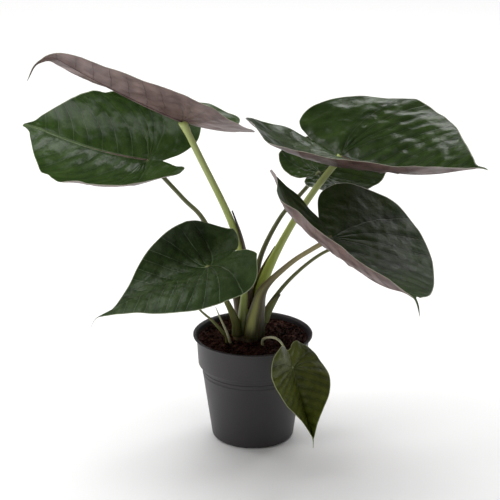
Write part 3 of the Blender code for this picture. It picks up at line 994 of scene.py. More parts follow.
@dataclass(frozen=True)
class BladeShape:
    """Form of one blade. Lengths are shares of its own, angles degrees, and heights above the rim."""

    junction: Point
    heading: float
    length: float
    pitch: float = 0.0
    roll: float = 0.0
    twist: float = 0.0
    droop: float = 10.0
    curl: float = 20.0
    lobe_droop: float = 0.0
    fold: float = 10.0
    unfold: float = 0.0
    lobe_fold: float = 0.0
    cup_left: float = 15.0
    cup_right: float = 15.0
    half_width: float = 0.48
    lobe: float = 0.44
    sinus: float = 0.17
    gap: float = 0.20
    tail: float = 0.06
    tail_curl: float = 60.0
    lobe_cup: float | None = None
    lobe_roll: float = 0.0

    def half_outline(self, steps: int) -> np.ndarray:
        """Left half of the flat outline, from the drip tip round the lobe to the sinus.

        Args:
            steps: pieces between two of its control points.

        Returns:
            Its points.
        """
        w, lobe, gap = self.half_width, self.lobe, self.gap
        reach = lobe + SHOULDER
        points = [
            (1.0 + self.tail, 0.0),
            (1.0 + 0.55 * self.tail, 0.0080),
            (0.985, 0.017),
            (0.94, 0.080 * w),
            (0.88, 0.18 * w),
            (0.70, 0.45 * w),
            (0.42, 0.80 * w),
            (0.15, 0.98 * w),
            (SHOULDER, 0.985 * w),
            (SHOULDER - 0.52 * reach, 0.86 * w),
            (SHOULDER - 0.90 * reach, 0.60 * w),
            (-lobe, 0.22 * w + 0.5 * gap),
            (-0.92 * lobe, 0.06 * w + 0.42 * gap),
            (-0.80 * lobe, 0.32 * gap),
            (-0.5 * (self.sinus + 0.80 * lobe), 0.15 * gap),
            (-self.sinus, 0.0),
        ]
        return smooth_line([np.array(point) for point in points], steps)

    def midrib(self) -> tuple[np.ndarray, np.ndarray, np.ndarray]:
        """Stations along the midrib, their places and their directions."""
        station = np.linspace(MIDRIB_FROM, MIDRIB_TO, MIDRIB_STATIONS)
        ahead, behind = np.clip(station, 0, None), np.clip(-station, 0, None)
        slope = np.radians(
            self.pitch
            - self.droop * ahead
            - self.curl * eased((station - CURL_START) / CURL_RUN)
            - self.tail_curl * eased((station - TAIL_START) / TAIL_RUN)
            + self.lobe_droop * behind / LOBE_SPAN
        )
        direction = np.stack([np.cos(slope), np.zeros_like(slope), np.sin(slope)], -1)
        place = np.cumsum(direction * (station[1] - station[0]), axis=0)
        place -= read_line(0.0, station, place)
        return station, place, direction

    def placed(self, flat: np.ndarray, rim: float) -> np.ndarray:
        """Moves flat points to where the grown blade has them.

        Args:
            flat: (along, across) points in blade lengths.
            rim: height of the pot's rim.

        Returns:
            Their places in metres.
        """
        x, y = flat[:, 0], flat[:, 1]
        station, place, direction = self.midrib()
        middle = read_line(x, station, place)
        along = read_line(x, station, direction)
        along /= np.linalg.norm(along, axis=1)[:, None]
        across = np.broadcast_to([0.0, 1.0, 0.0], along.shape)
        above = np.cross(along, across)
        ahead, behind = np.clip(x, 0, None), np.clip(-x, 0, None)
        roll = np.radians(self.roll + self.twist * x + self.lobe_roll * behind / LOBE_SPAN)[:, None]
        side = across * np.cos(roll) + above * np.sin(roll)
        top = above * np.cos(roll) - across * np.sin(roll)
        start = np.radians(self.fold + self.unfold * ahead + self.lobe_fold * behind / LOBE_SPAN)
        lobe_cup = self.cup_right if self.lobe_cup is None else self.lobe_cup
        cup_right = self.cup_right + (lobe_cup - self.cup_right) * eased((LOBE_START - x) / LOBE_RUN)
        bend = np.radians(np.where(y > 0, self.cup_left, cup_right)) / HALF_SPAN
        bend = np.where(np.abs(bend) < 0.001, 0.001, bend)
        reach = np.abs(y)
        out = np.sign(y) * (np.sin(start + bend * reach) - np.sin(start)) / bend
        lift = (np.cos(start) - np.cos(start + bend * reach)) / bend
        points = self.length * (middle + side * out[:, None] + top * lift[:, None])
        heading = math.radians(self.heading)
        turn = np.array([
            [math.cos(heading), -math.sin(heading), 0.0],
            [math.sin(heading), math.cos(heading), 0.0],
            [0.0, 0.0, 1.0],
        ])
        return points @ turn.T + np.array(self.junction) + (0.0, 0.0, rim)


@dataclass(frozen=True)
class Stalk:
    """Form of one petiole: its foot, the places it passes (heights above the rim), and its thickness."""

    base: tuple[float, float]
    via: tuple[Point, ...]
    base_radius: float
    top_radius: float
    finish: StalkFinish
    flare: float = 0.0
    flare_end: float = 0.35
    head: float = 0.35
    head_start: float = 0.93
    slimming: float = 1.3


@dataclass
class Leaf:
    """A blade on its petiole."""

    name: str
    shape: BladeShape
    stalk: Stalk
    age: BladeAge
    rings: int = 64
    steps: int = 10
    thickness: float = 0.0007
    quilt: float = 0.0080
    wave: float = 0.014
    seed: float = 0.0
    pattern: VeinPattern = VeinPattern()

    def flat_grid(self) -> tuple[np.ndarray, np.ndarray, int]:
        """Rings of flat points about the junction.

        Returns:
            The points, their share of the way to the margin, and the count of points in a ring.
        """
        left = self.shape.half_outline(self.steps)
        outline = np.concatenate([left, left[1:-1][::-1] * (1, -1)])
        shares = (np.arange(1, self.rings + 1) / self.rings) ** RING_POWER
        flat = (outline[None] * shares[:, None, None]).reshape(-1, 2)
        flat = np.concatenate([[(0.0, 0.0)], flat])
        share = np.concatenate([[0.0], np.repeat(shares, len(outline))])
        return flat, share, len(outline)

    def relief(self, flat: np.ndarray, share: np.ndarray) -> np.ndarray:
        """Height of the quilting between the veins and of the wavy margin.

        Args:
            flat: flat points.
            share: how near each is to the margin, from 0 to 1.

        Returns:
            Heights in metres.
        """
        x, reach = flat[:, 0], np.abs(flat[:, 1])
        sway = flat_noise(flat, SWAY_SCALE, self.seed)
        phase = self.pattern.phase(x + sway * SWAY, reach)
        dome = np.abs(np.sin(math.pi * phase)) ** DOME_POWER
        fade = eased(reach / DOME_REACH) * (1 - FADE * eased((share - FADE_START) / FADE_RUN))
        lumps = flat_noise(flat, LUMP_SCALE, self.seed + LUMP_SEED)
        slow = flat_noise(flat, SLOW_SCALE, self.seed + SLOW_SEED)
        edge = eased((share - RUFFLE_START) / RUFFLE_RUN) * eased(reach / RUFFLE_REACH)
        height = self.quilt * fade * (dome * (DOME_BASE + DOME_SLOW * slow) + DOME_LUMPS * lumps)
        height += self.wave * edge * slow
        groove = (1 - eased(reach / GROOVE_REACH)) * eased((x - GROOVE_START) / GROOVE_RUN)
        height -= self.quilt * GROOVE * groove
        return height * self.shape.length

    def surface(self, flat: np.ndarray, share: np.ndarray, rim: float) -> tuple[np.ndarray, np.ndarray]:
        """Middle surface of the blade and its upward direction.

        Args:
            flat: flat points.
            share: how near each is to the margin.
            rim: height of the pot's rim.

        Returns:
            Places and unit normals.
        """
        step = 0.004
        moves = ((0, 0), (step, 0), (-step, 0), (0, step), (0, -step))
        here, ahead, behind, left, right = (self.shape.placed(flat + move, rim) for move in moves)
        normal = np.cross(ahead - behind, left - right)
        normal /= np.linalg.norm(normal, axis=1)[:, None]
        return here + normal * self.relief(flat, share)[:, None], normal

    def inside_share(self, flat: np.ndarray) -> np.ndarray:
        """Share of the way to the margin of any flat points."""
        outline = self.shape.half_outline(self.steps)
        angle = np.arctan2(outline[:, 1], outline[:, 0])
        radius = np.hypot(outline[:, 0], outline[:, 1])
        found = np.interp(np.arctan2(np.abs(flat[:, 1]), flat[:, 0]), angle, radius)
        return np.hypot(flat[:, 0], flat[:, 1]) / found

    def vein_paths(self) -> list[tuple[np.ndarray, float, float]]:
        """Flat paths of the midrib and the side veins, each with its radius at both ends in metres."""
        midrib, sides, rays = np.array([MIDRIB_RADII, SIDE_RADII, RAY_RADII]) * self.shape.length
        paths = [(np.stack([np.linspace(0.0, MIDRIB_REACH, 48), np.zeros(48)], -1), *midrib)]
        reach = np.linspace(0.004, VEIN_REACH, 60)
        for count in range(1, SIDE_VEINS + 1):
            x = count * self.pattern.spacing + self.pattern.slant * reach + self.pattern.bow * reach**2
            paths += [(np.stack([x, side * reach], -1), *sides) for side in (1, -1)]
        for count in range(RAYS):
            x, angle = -self.pattern.fan * count, np.linspace(0.3, math.pi - 0.02, 400)
            bearing = angle[np.argmin(np.abs(np.cos(angle) - self.pattern.slant * np.sin(angle) - x))]
            radius = np.linspace(0.015, VEIN_REACH, 60)
            for side in (1, -1):
                ray = np.stack([radius * math.cos(bearing), side * radius * math.sin(bearing)], -1)
                paths.append((ray, *rays))
        return paths

    def vein_tubes(self, rim: float, first: int) -> tuple[list[np.ndarray], Faces, list[np.ndarray]]:
        """Raised veins under the blade.

        Args:
            rim: height of the pot's rim.
            first: number of their first point in the blade's mesh.

        Returns:
            Their points, faces and map.
        """
        points, faces, uv = [], [], []
        for path, thick, thin in self.vein_paths():
            path = path[self.inside_share(path) < VEIN_END]
            if len(path) < VEIN_POINTS:
                continue
            route, up = self.surface(path, self.inside_share(path), rim)
            radii = thick + (thin - thick) * eased(np.linspace(0.0, 1.0, len(path)))
            route = route - up * (self.thickness / 2 + radii[:, None] * VEIN_SINK)
            vein, quads, _ = tube(route, radii, VEIN_SIDES, first)
            points.append(vein)
            faces += quads
            uv.append(np.repeat(path, VEIN_SIDES, axis=0))
            first += len(vein)
        return points, faces, uv

    def build_blade(self, rim: float) -> bpy.types.Object:
        """Builds the blade with its two skins and the raised veins below.

        Args:
            rim: height of the pot's rim.

        Returns:
            The blade.
        """
        flat, share, count = self.flat_grid()
        middle, normal = self.surface(flat, share, rim)
        half = self.thickness / 2 * (1 - THINNING * eased((share - THIN_START) / THIN_RUN))[:, None]
        total, last = len(flat), len(flat) - count
        upper = [(0, 1 + index, 1 + (index + 1) % count) for index in range(count)]
        upper += ring_faces(1, self.rings, count, reverse=True)
        lower = [tuple(total + corner for corner in reversed(face)) for face in upper]
        margin = []
        for index in range(count):
            after = (index + 1) % count
            margin.append((last + index, total + last + index, total + last + after, last + after))
        veins, vein_faces, vein_uv = self.vein_tubes(rim, 2 * total)
        distance = (1 - share) * np.hypot(flat[:, 0], flat[:, 1]) * self.shape.length
        vein_edge = np.full(sum(map(len, veins)), VEIN_MARGIN)
        piece = Bench.mesh(
            f"Blade_{self.name}",
            np.concatenate([middle + normal * half, middle - normal * half, *veins]),
            upper + lower + margin + vein_faces,
            np.concatenate([flat, flat, *vein_uv]),
            {"edge": np.concatenate([distance, distance, vein_edge])},
        )
        young = self.age is BladeAge.YOUNG
        under = YOUNG_UNDERSIDE if young else UndersideFinish()
        piece.data.materials.append(self.age.value.build(f"blade_top_{self.name}"))
        piece.data.materials.append(under.build(f"blade_under_{self.name}"))
        slots = np.zeros(len(piece.data.polygons), np.int32)
        slots[len(upper) : 2 * len(upper)] = 1
        slots[2 * len(upper) + len(margin) :] = 1
        piece.data.polygons.foreach_set("material_index", slots)
        Bench.hand_over(piece, "young_leaf_skin" if young else "leaf_skin", f"Leaf_{self.name}")
        return piece

    def route(self, rim: float, foot: float) -> np.ndarray:
        """Centre line of the petiole.

        Args:
            rim: height of the pot's rim.
            foot: height that it rises from.

        Returns:
            Its points.
        """
        start = np.array([*self.stalk.base, foot])
        middle, up = self.surface(np.array([(0.0, 0.0)]), np.array([0.0]), rim)
        top = middle[0] - up[0] * (self.thickness / 2)
        risen = start + (0.0, 0.0, FOOT_RISE)
        return smooth_line([start, risen, *above_rim(self.stalk.via, rim), top], STALK_STEPS)

    def radius(self, share: np.ndarray) -> np.ndarray:
        """Radius of the petiole at shares of its length.

        Args:
            share: places along it, from 0 to 1.

        Returns:
            The radii.
        """
        stalk = self.stalk
        slim = stalk.base_radius + (stalk.top_radius - stalk.base_radius) * eased(stalk.slimming * share)
        head = stalk.head * stalk.top_radius * eased((share - stalk.head_start) / (1 - stalk.head_start))
        return slim + head + stalk.flare * (1 - eased(share / stalk.flare_end))

    def build_petiole(self, rim: float, foot: float) -> bpy.types.Object:
        """Builds the petiole.

        Args:
            rim: height of the pot's rim.
            foot: height that it rises from.

        Returns:
            The petiole.
        """
        route = self.route(rim, foot)
        points, faces, uv = tube(route, self.radius(shares_along(route)), STALK_SIDES)
        piece = Bench.mesh(f"Stalk_{self.name}", points, faces, uv)
        piece.data.materials.append(self.stalk.finish.build(f"stalk_{self.name}"))
        Bench.hand_over(piece, "petiole_skin", f"Petiole_{self.name}")
        return piece


LEAVES = [
    Leaf(
        "upper_left",
        BladeShape(
            junction=(-0.095, -0.020, 0.316), heading=196, length=0.233, pitch=26, roll=9, twist=21,
            droop=-10, curl=110, lobe_droop=-26, fold=18, unfold=-17, lobe_fold=-3, cup_left=0, cup_right=0,
            half_width=0.40, lobe=0.40, sinus=0.10, gap=0.14, tail=0.070, tail_curl=-15,
        ),
        Stalk(
            base=(-0.013, 0.000),
            via=((-0.010, 0.000, 0.065), (-0.018, -0.004, 0.126), (-0.034, -0.008, 0.179),
                 (-0.072, -0.014, 0.263)),
            base_radius=0.0062, top_radius=0.0046, finish=YELLOW_GREEN, flare=0.0040, flare_end=0.30,
        ),
        BladeAge.GREEN, seed=1.0,
    ),
    Leaf(
        "left",
        BladeShape(
            junction=(-0.153, 0.120, 0.221), heading=137, length=0.274, pitch=-6, roll=-42, twist=-14,
            droop=-15, curl=13, lobe_droop=-21, fold=4, unfold=9, lobe_fold=-1, cup_left=67, cup_right=110,
            half_width=0.45, lobe=0.41, sinus=0.12, gap=0.22, tail=0.03, tail_curl=10,
        ),
        Stalk(
            base=(-0.018, 0.013),
            via=((-0.019, 0.014, 0.030), (-0.030, 0.030, 0.069), (-0.069, 0.075, 0.141),
                 (-0.101, 0.100, 0.169)),
            base_radius=0.0050, top_radius=0.0032, finish=DARK_OLIVE, flare=0.0030,
        ),
        BladeAge.GREEN, seed=2.0,
    ),
    Leaf(
        "front_left",
        BladeShape(
            junction=(-0.061, -0.090, 0.132), heading=197, length=0.164, pitch=-15, roll=22, twist=1,
            droop=9, curl=0, lobe_droop=-43, fold=-3, unfold=-15, lobe_fold=-9, cup_left=-40, cup_right=95,
            half_width=0.60, lobe=0.38, sinus=0.24, gap=0.36, tail=0.10, tail_curl=40,
        ),
        Stalk(
            base=(-0.023, -0.011),
            via=((-0.025, -0.015, 0.025), (-0.035, -0.028, 0.055)),
            base_radius=0.0050, top_radius=0.0030, finish=OLIVE, flare=0.0020,
        ),
        BladeAge.SATIN, seed=3.0,
    ),
    Leaf(
        "upper_right",
        BladeShape(
            junction=(0.124, 0.050, 0.247), heading=-49.4, length=0.261, pitch=-5.8, roll=16.2, twist=-11.4,
            droop=-30.9, curl=9.2, lobe_droop=-13.6, fold=17.9, unfold=1.8, lobe_fold=-2.9,
            cup_left=-18.3, cup_right=23.1, half_width=0.60, lobe=0.46, sinus=0.24, gap=0.09,
            tail=0.06, tail_curl=20, lobe_cup=33, lobe_roll=-11.3,
        ),
        Stalk(
            base=(0.001, 0.003),
            via=((0.007, 0.004, 0.048), (0.021, 0.010, 0.091), (0.052, 0.022, 0.150),
                 (0.087, 0.038, 0.201)),
            base_radius=0.0062, top_radius=0.0046, finish=YELLOW_GREEN, flare=0.0035, flare_end=0.55,
        ),
        BladeAge.DARK, seed=4.0,
    ),
    Leaf(
        "right",
        BladeShape(
            junction=(0.107, -0.060, 0.163), heading=-66.4, length=0.236, pitch=-19.4, roll=-12.1, twist=-22,
            droop=-40, curl=26.3, lobe_droop=-10.3, fold=8.3, unfold=-0.5, lobe_fold=4.2,
            cup_left=0, cup_right=32.3, half_width=0.58, lobe=0.44, sinus=0.19, gap=0.21,
            tail=0.10, tail_curl=60, lobe_cup=44, lobe_roll=-8.6,
        ),
        Stalk(
            base=(0.002, -0.013),
            via=((0.006, -0.014, 0.040), (0.016, -0.018, 0.075), (0.051, -0.032, 0.116),
                 (0.081, -0.048, 0.143)),
            base_radius=0.0062, top_radius=0.0034, finish=ROSY_OLIVE, flare=0.0085, flare_end=0.48,
        ),
        BladeAge.DUSKY, quilt=0.0062, seed=5.0,
    ),
    Leaf(
        "back_right",
        BladeShape(
            junction=(0.098, 0.140, 0.196), heading=31, length=0.147, pitch=12, roll=12, twist=29,
            droop=-35, curl=0, lobe_droop=-11, fold=-7, unfold=-17, lobe_fold=0, cup_left=22, cup_right=23,
            half_width=0.56, lobe=0.25, sinus=0.16, gap=0.10,
        ),
        Stalk(
            base=(-0.003, 0.017),
            via=((0.003, 0.020, 0.057), (0.012, 0.040, 0.103), (0.039, 0.075, 0.147),
                 (0.067, 0.110, 0.169)),
            base_radius=0.0045, top_radius=0.0030, finish=DARK_OLIVE,
        ),
        BladeAge.DARK, seed=6.0,
    ),
    Leaf(
        "right_small",
        BladeShape(
            junction=(0.141, 0.040, 0.125), heading=-5, length=0.070, pitch=-15, droop=15,
            cup_left=10, cup_right=10, half_width=0.44, lobe=0.36, gap=0.12,
        ),
        Stalk(
            base=(0.0115, -0.004),
            via=((0.014, -0.001, 0.015), (0.024, 0.006, 0.040), (0.053, 0.015, 0.076),
                 (0.095, 0.030, 0.107)),
            base_radius=0.0034, top_radius=0.0024, finish=OLIVE, flare=0.0030, flare_end=0.35,
        ),
        BladeAge.YOUNG, rings=36, steps=7, seed=7.0,
    ),
    Leaf(
        "front_small",
        BladeShape(
            junction=(0.054, -0.110, -0.007), heading=-48, length=0.109, pitch=-71, roll=-11, twist=49,
            droop=-14, curl=35, lobe_droop=14, fold=22, unfold=64, lobe_fold=-8, cup_left=-26, cup_right=-40,
            half_width=0.47, lobe=0.31, sinus=0.23, gap=0.19, tail=0.05, tail_curl=0,
        ),
        Stalk(
            base=(0.014, -0.034),
            via=((0.021, -0.045, 0.011), (0.032, -0.065, 0.018), (0.042, -0.086, 0.015)),
            base_radius=0.0020, top_radius=0.0015, finish=PALE_STALK,
        ),
        BladeAge.YOUNG, rings=48, seed=8.0,
    ),
    Leaf(
        "left_juvenile",
        BladeShape(
            junction=(-0.090, -0.035, 0.077), heading=175, length=0.055, pitch=5, droop=15, fold=12,
            cup_left=10, cup_right=10, half_width=0.42, lobe=0.34, gap=0.12,
        ),
        Stalk(
            base=(-0.037, -0.022),
            via=((-0.040, -0.023, 0.007), (-0.056, -0.026, 0.028), (-0.075, -0.030, 0.048)),
            base_radius=0.0025, top_radius=0.0015, finish=OLIVE,
        ),
        BladeAge.YOUNG, rings=36, steps=7, seed=9.0,
    ),
]


@dataclass
class Sheath:
    """A pointed sheath that clasps one side of a petiole."""

    name: str
    start: float
    end: float
    facing: float
    spread: float
    finish: SheathFinish
    thickness: float = 0.0005
    lift: float = 0.0010
    taper: float = 0.80
    loose: float = 0.0016
    loose_tip: float = 0.0012
    taper_power: float = 2.2
    swell: float = 1.04
    bulge_rate: float = 1.15
    hug: float = 0.55
    stations: int = 48
    around: int = 17

    def build(self, leaf: Leaf, rim: float, foot: float) -> bpy.types.Object:
        """Builds the sheath round its petiole.

        Args:
            leaf: the leaf whose petiole it clasps.
            rim: height of the pot's rim.
            foot: height that the petiole rises from.

        Returns:
            The sheath.
        """
        route = leaf.route(rim, foot)
        along = shares_along(route)
        turns = np.linspace(-1.0, 1.0, self.around)
        facing = math.radians(self.facing)
        points, uv = [], []
        for station in np.linspace(0.0, 1.0, self.stations):
            share = self.start + (self.end - self.start) * station
            middle, ahead = read_line(np.array([share, share + 0.01]), along, route)
            axis = (ahead - middle) / np.linalg.norm(ahead - middle)
            front = np.array([math.cos(facing), math.sin(facing), 0.0])
            front -= axis * (front @ axis)
            front /= np.linalg.norm(front)
            side = np.cross(axis, front)
            spread = math.radians(self.spread) * (1 - self.taper * station**self.taper_power)
            inner = float(leaf.radius(np.array([share]))[0]) * self.swell + self.lift
            bulge = math.sin(math.pi * min(1.0, self.bulge_rate * station))
            loose = self.loose * bulge + self.loose_tip * station**3
            for radius, order in ((inner, turns), (inner + self.thickness, turns[::-1])):
                for turn in order:
                    flare = radius + loose * (self.hug + (1 - self.hug) * abs(turn))
                    out = front * math.cos(spread * turn) + side * math.sin(spread * turn)
                    points.append(middle + out * flare)
                    uv.append((turn, station))
        ring = 2 * self.around
        faces = ring_faces(0, self.stations, ring, reverse=True)
        last = (self.stations - 1) * ring
        for index in range(self.around - 1):
            end = (index, index + 1, ring - 2 - index, ring - 1 - index)
            faces.append(end)
            faces.append(tuple(last + corner for corner in reversed(end)))
        piece = Bench.mesh(f"Sheath_skin_{self.name}", np.array(points), faces, np.array(uv))
        piece.data.materials.append(self.finish.build(f"sheath_{self.name}"))
        Bench.hand_over(piece, "dry_sheath", f"Sheath_{self.name}")
        return piece


SHEATHS = [
    Sheath("upper_left", start=0.12, end=0.56, facing=-12, spread=62, finish=DRY_BROWN, thickness=0.0010),
    Sheath("upper_right", start=0.12, end=0.45, facing=120, spread=75, finish=PINK_EDGED),
    Sheath("right_small", start=0.10, end=0.34, facing=-60, spread=80, finish=FRESH_GREEN),
]


@dataclass
class Crown:
    """The corm and the unopened shoot beside it."""

    centre: tuple[float, float] = (-0.008, 0.0)
    lumps: float = 0.0016
    lump_scale: float = 90
    scar_scales: Point = (60, 60, 700)
    scars: float = 0.5
    shoot_base: tuple[float, float] = (-0.031, -0.026)
    shoot_via: tuple[Point, ...] = (
        (-0.036, -0.027, 0.010), (-0.046, -0.029, 0.035), (-0.052, -0.030, 0.051),
    )
    shoot_foot: float = 0.0022
    shoot_taper: float = 0.0018
    # Shares of the corm's radius and height, from the middle of its top to the middle of its base.
    corm_profile: tuple[tuple[float, float], ...] = (
        (0.08, 1.0), (0.45, 0.995), (0.74, 0.965), (0.90, 0.90), (0.96, 0.80), (0.975, 0.62),
        (0.94, 0.42), (0.84, 0.22), (0.62, 0.04), (0.30, 0.0), (0.06, 0.0),
    )

    def build_corm(self) -> bpy.types.Object:
        """Builds the corm in the box of its CAD solid, with its skin lumpy and ringed.

        Returns:
            The corm.
        """
        low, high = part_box("Corm")
        radius, height = (high.x - low.x) / 2, high.z - low.z
        profile = [(radius * out, low.z + height * up) for out, up in self.corm_profile]
        piece = Bench.turned("Corm_body", profile, 64)
        Bench.apply(piece, "SUBSURF", levels=1, render_levels=1)
        for vertex in piece.data.vertices:
            spot = vertex.co
            scars = noise.noise(Vector([place * scale for place, scale in zip(spot, self.scar_scales)]))
            lump = noise.noise(spot * self.lump_scale) + self.scars * scars
            outward = Vector((spot.x, spot.y, 0.0)).normalized()
            vertex.co = spot + outward * self.lumps * (lump - 1) + Vector((*self.centre, 0.0))
        Bench.smooth(piece, 60)
        piece.data.materials.append(CormFinish().build("corm_skin_fibres"))
        Bench.hand_over(piece, "corm_skin", "Corm")
        return piece

    def build_shoot(self, rim: float, soil_top: float) -> bpy.types.Object:
        """Builds the shoot.

        Args:
            rim: height of the pot's rim.
            soil_top: height of the soil.

        Returns:
            The shoot.
        """
        start = np.array([*self.shoot_base, soil_top])
        route = smooth_line([start, *above_rim(self.shoot_via, rim)], 10)
        share = np.linspace(0.0, 1.0, len(route))
        points, faces, uv = tube(route, self.shoot_foot - self.shoot_taper * share**1.4, 16)
        piece = Bench.mesh("Shoot_spike", points, faces, uv)
        piece.data.materials.append(PALE_STALK.build("shoot_skin"))
        Bench.hand_over(piece, "petiole_skin", "Shoot")
        return piece


@dataclass
class Soil:
    """Potting mix: a crumbly top over the fill, with loose crumbs, bark chips and fibres on it."""

    crumbs: int = 1500
    chips: int = 150
    fibres: int = 90
    swell: float = 0.0016
    keep_clear: float = 0.022
    rings: int = 46
    sides: int = 180
    # Radius and height of the fill below its top: the pot's step, its waist and its foot.
    step: tuple[float, float] = (0.0715, 0.1095)
    step_top: float = 0.111
    waist: tuple[float, float] = (0.0576, 0.0085)
    foot_radius: float = 0.0555
    lean: float = 0.0022
    shoulder: tuple[float, float] = (0.0006, 0.012)
    skin_depth: float = 0.004
    skin_margin: float = 0.001
    roughness: tuple[tuple[float, float], ...] = ((150, 0.7), (420, 0.5), (40, 1.0))
    tone_scale: float = 300
    crumb_half: tuple[float, float] = (0.0006, 0.0021)
    crumb_stretch: tuple[float, float] = (0.6, 1.4)
    chip_length: tuple[float, float] = (0.002, 0.0048)
    chip_width: tuple[float, float] = (0.001, 0.002)
    chip_half: float = 0.0007
    fibre_length: tuple[float, float] = (0.003, 0.008)
    fibre_half: float = 0.00028
    crumb_margin: float = 0.002
    jaggedness: float = 0.28
    tilt: float = 0.35
    seat: tuple[float, float] = (-0.0002, 0.0022)
    tones: tuple[float, float] = (1.6, 3.0)

    def build(self, crown: Crown) -> bpy.types.Object:
        """Builds the fill.

        Args:
            crown: the crown that it leaves room for.

        Returns:
            The fill.
        """
        low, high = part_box("Soil")
        top_radius = (high.x - low.x) / 2
        rings = np.linspace(HUB, top_radius, self.rings)
        wall = [
            (top_radius - self.shoulder[0], high.z - self.shoulder[1]),
            (top_radius - self.lean, self.step_top),
            self.step,
            self.waist,
            (self.foot_radius, low.z),
            (HUB, low.z),
        ]
        piece = Bench.turned("Soil_mix", [(radius, high.z) for radius in rings] + wall, self.sides)
        for vertex in piece.data.vertices:
            spot = vertex.co
            out = math.hypot(spot.x, spot.y)
            if spot.z < high.z - self.skin_depth or out > top_radius - self.skin_margin:
                continue
            rough = sum(noise.noise(spot * scale) * weight for scale, weight in self.roughness)
            vertex.co.z += self.swell * rough
        spots = [vertex.co * self.tone_scale for vertex in piece.data.vertices]
        tone = np.array([0.5 + 0.5 * noise.noise(spot) for spot in spots])
        piece.data.attributes.new("tone", "FLOAT", "POINT").data.foreach_set("value", tone)
        Bench.smooth(piece, 70)
        piece.data.materials.append(SoilFinish().build("soil_mix"))
        Bench.hand_over(piece, "potting_soil", "Soil")
        self.build_crumbs(top_radius, high.z, crown, piece.data.materials[0])
        return piece

    def crumb_size(self, index: int, chance: np.random.Generator) -> np.ndarray:
        """Half lengths of one loose bit: a crumb, then chips, then fibres.

        Args:
            index: its number.
            chance: source of random numbers.

        Returns:
            The half lengths.
        """
        if index < self.crumbs:
            return chance.uniform(*self.crumb_half) * chance.uniform(*self.crumb_stretch, 3)
        if index < self.crumbs + self.chips:
            length, width = chance.uniform(*self.chip_length), chance.uniform(*self.chip_width)
            return np.array([length, width, self.chip_half])
        return np.array([chance.uniform(*self.fibre_length), self.fibre_half, self.fibre_half])

    def build_crumbs(
        self, radius: float, top: float, crown: Crown, material: bpy.types.Material
    ) -> bpy.types.Object:
        """Scatters crumbs, chips and fibres over the soil.

        Args:
            radius: radius of the soil's top.
            top: its height.
            crown: the crown that they leave room for.
            material: the soil's material.

        Returns:
            One piece that holds them all.
        """
        chance = np.random.default_rng(7)
        Bench.clear_selection()
        bpy.ops.mesh.primitive_ico_sphere_add(subdivisions=1, radius=1.0)
        model = bpy.context.object
        ball = np.array([vertex.co for vertex in model.data.vertices])
        ball_faces = [tuple(face.vertices) for face in model.data.polygons]
        bpy.data.objects.remove(model, do_unlink=True)
        points, faces, tones = [], [], []
        reach = radius - self.crumb_margin
        for index in range(self.crumbs + self.chips + self.fibres):
            spot = chance.uniform(-radius, radius, 2)
            while np.hypot(*spot) >= reach or math.dist(spot, crown.centre) <= self.keep_clear:
                spot = chance.uniform(-radius, radius, 2)
            size = self.crumb_size(index, chance)
            turn, tilt = chance.uniform(0, math.tau), chance.normal(0, self.tilt)
            shape = ball * (1 + chance.uniform(-self.jaggedness, self.jaggedness, ball.shape)) * size
            flat_x = shape[:, 0] * math.cos(tilt) - shape[:, 2] * math.sin(tilt)
            height = shape[:, 0] * math.sin(tilt) + shape[:, 2] * math.cos(tilt)
            x = flat_x * math.cos(turn) - shape[:, 1] * math.sin(turn)
            y = flat_x * math.sin(turn) + shape[:, 1] * math.cos(turn)
            seat = top + chance.uniform(*self.seat)
            points.append(np.stack([x + spot[0], y + spot[1], height + seat], -1))
            faces += [tuple(index * len(ball) + corner for corner in face) for face in ball_faces]
            tones.append(np.full(len(ball), chance.beta(*self.tones)))
        tone = {"tone": np.concatenate(tones)}
        piece = Bench.mesh("Soil_crumbs", np.concatenate(points), faces, None, tone)
        piece.data.materials.append(material)
        Bench.hand_over(piece, "potting_soil")
        return piece


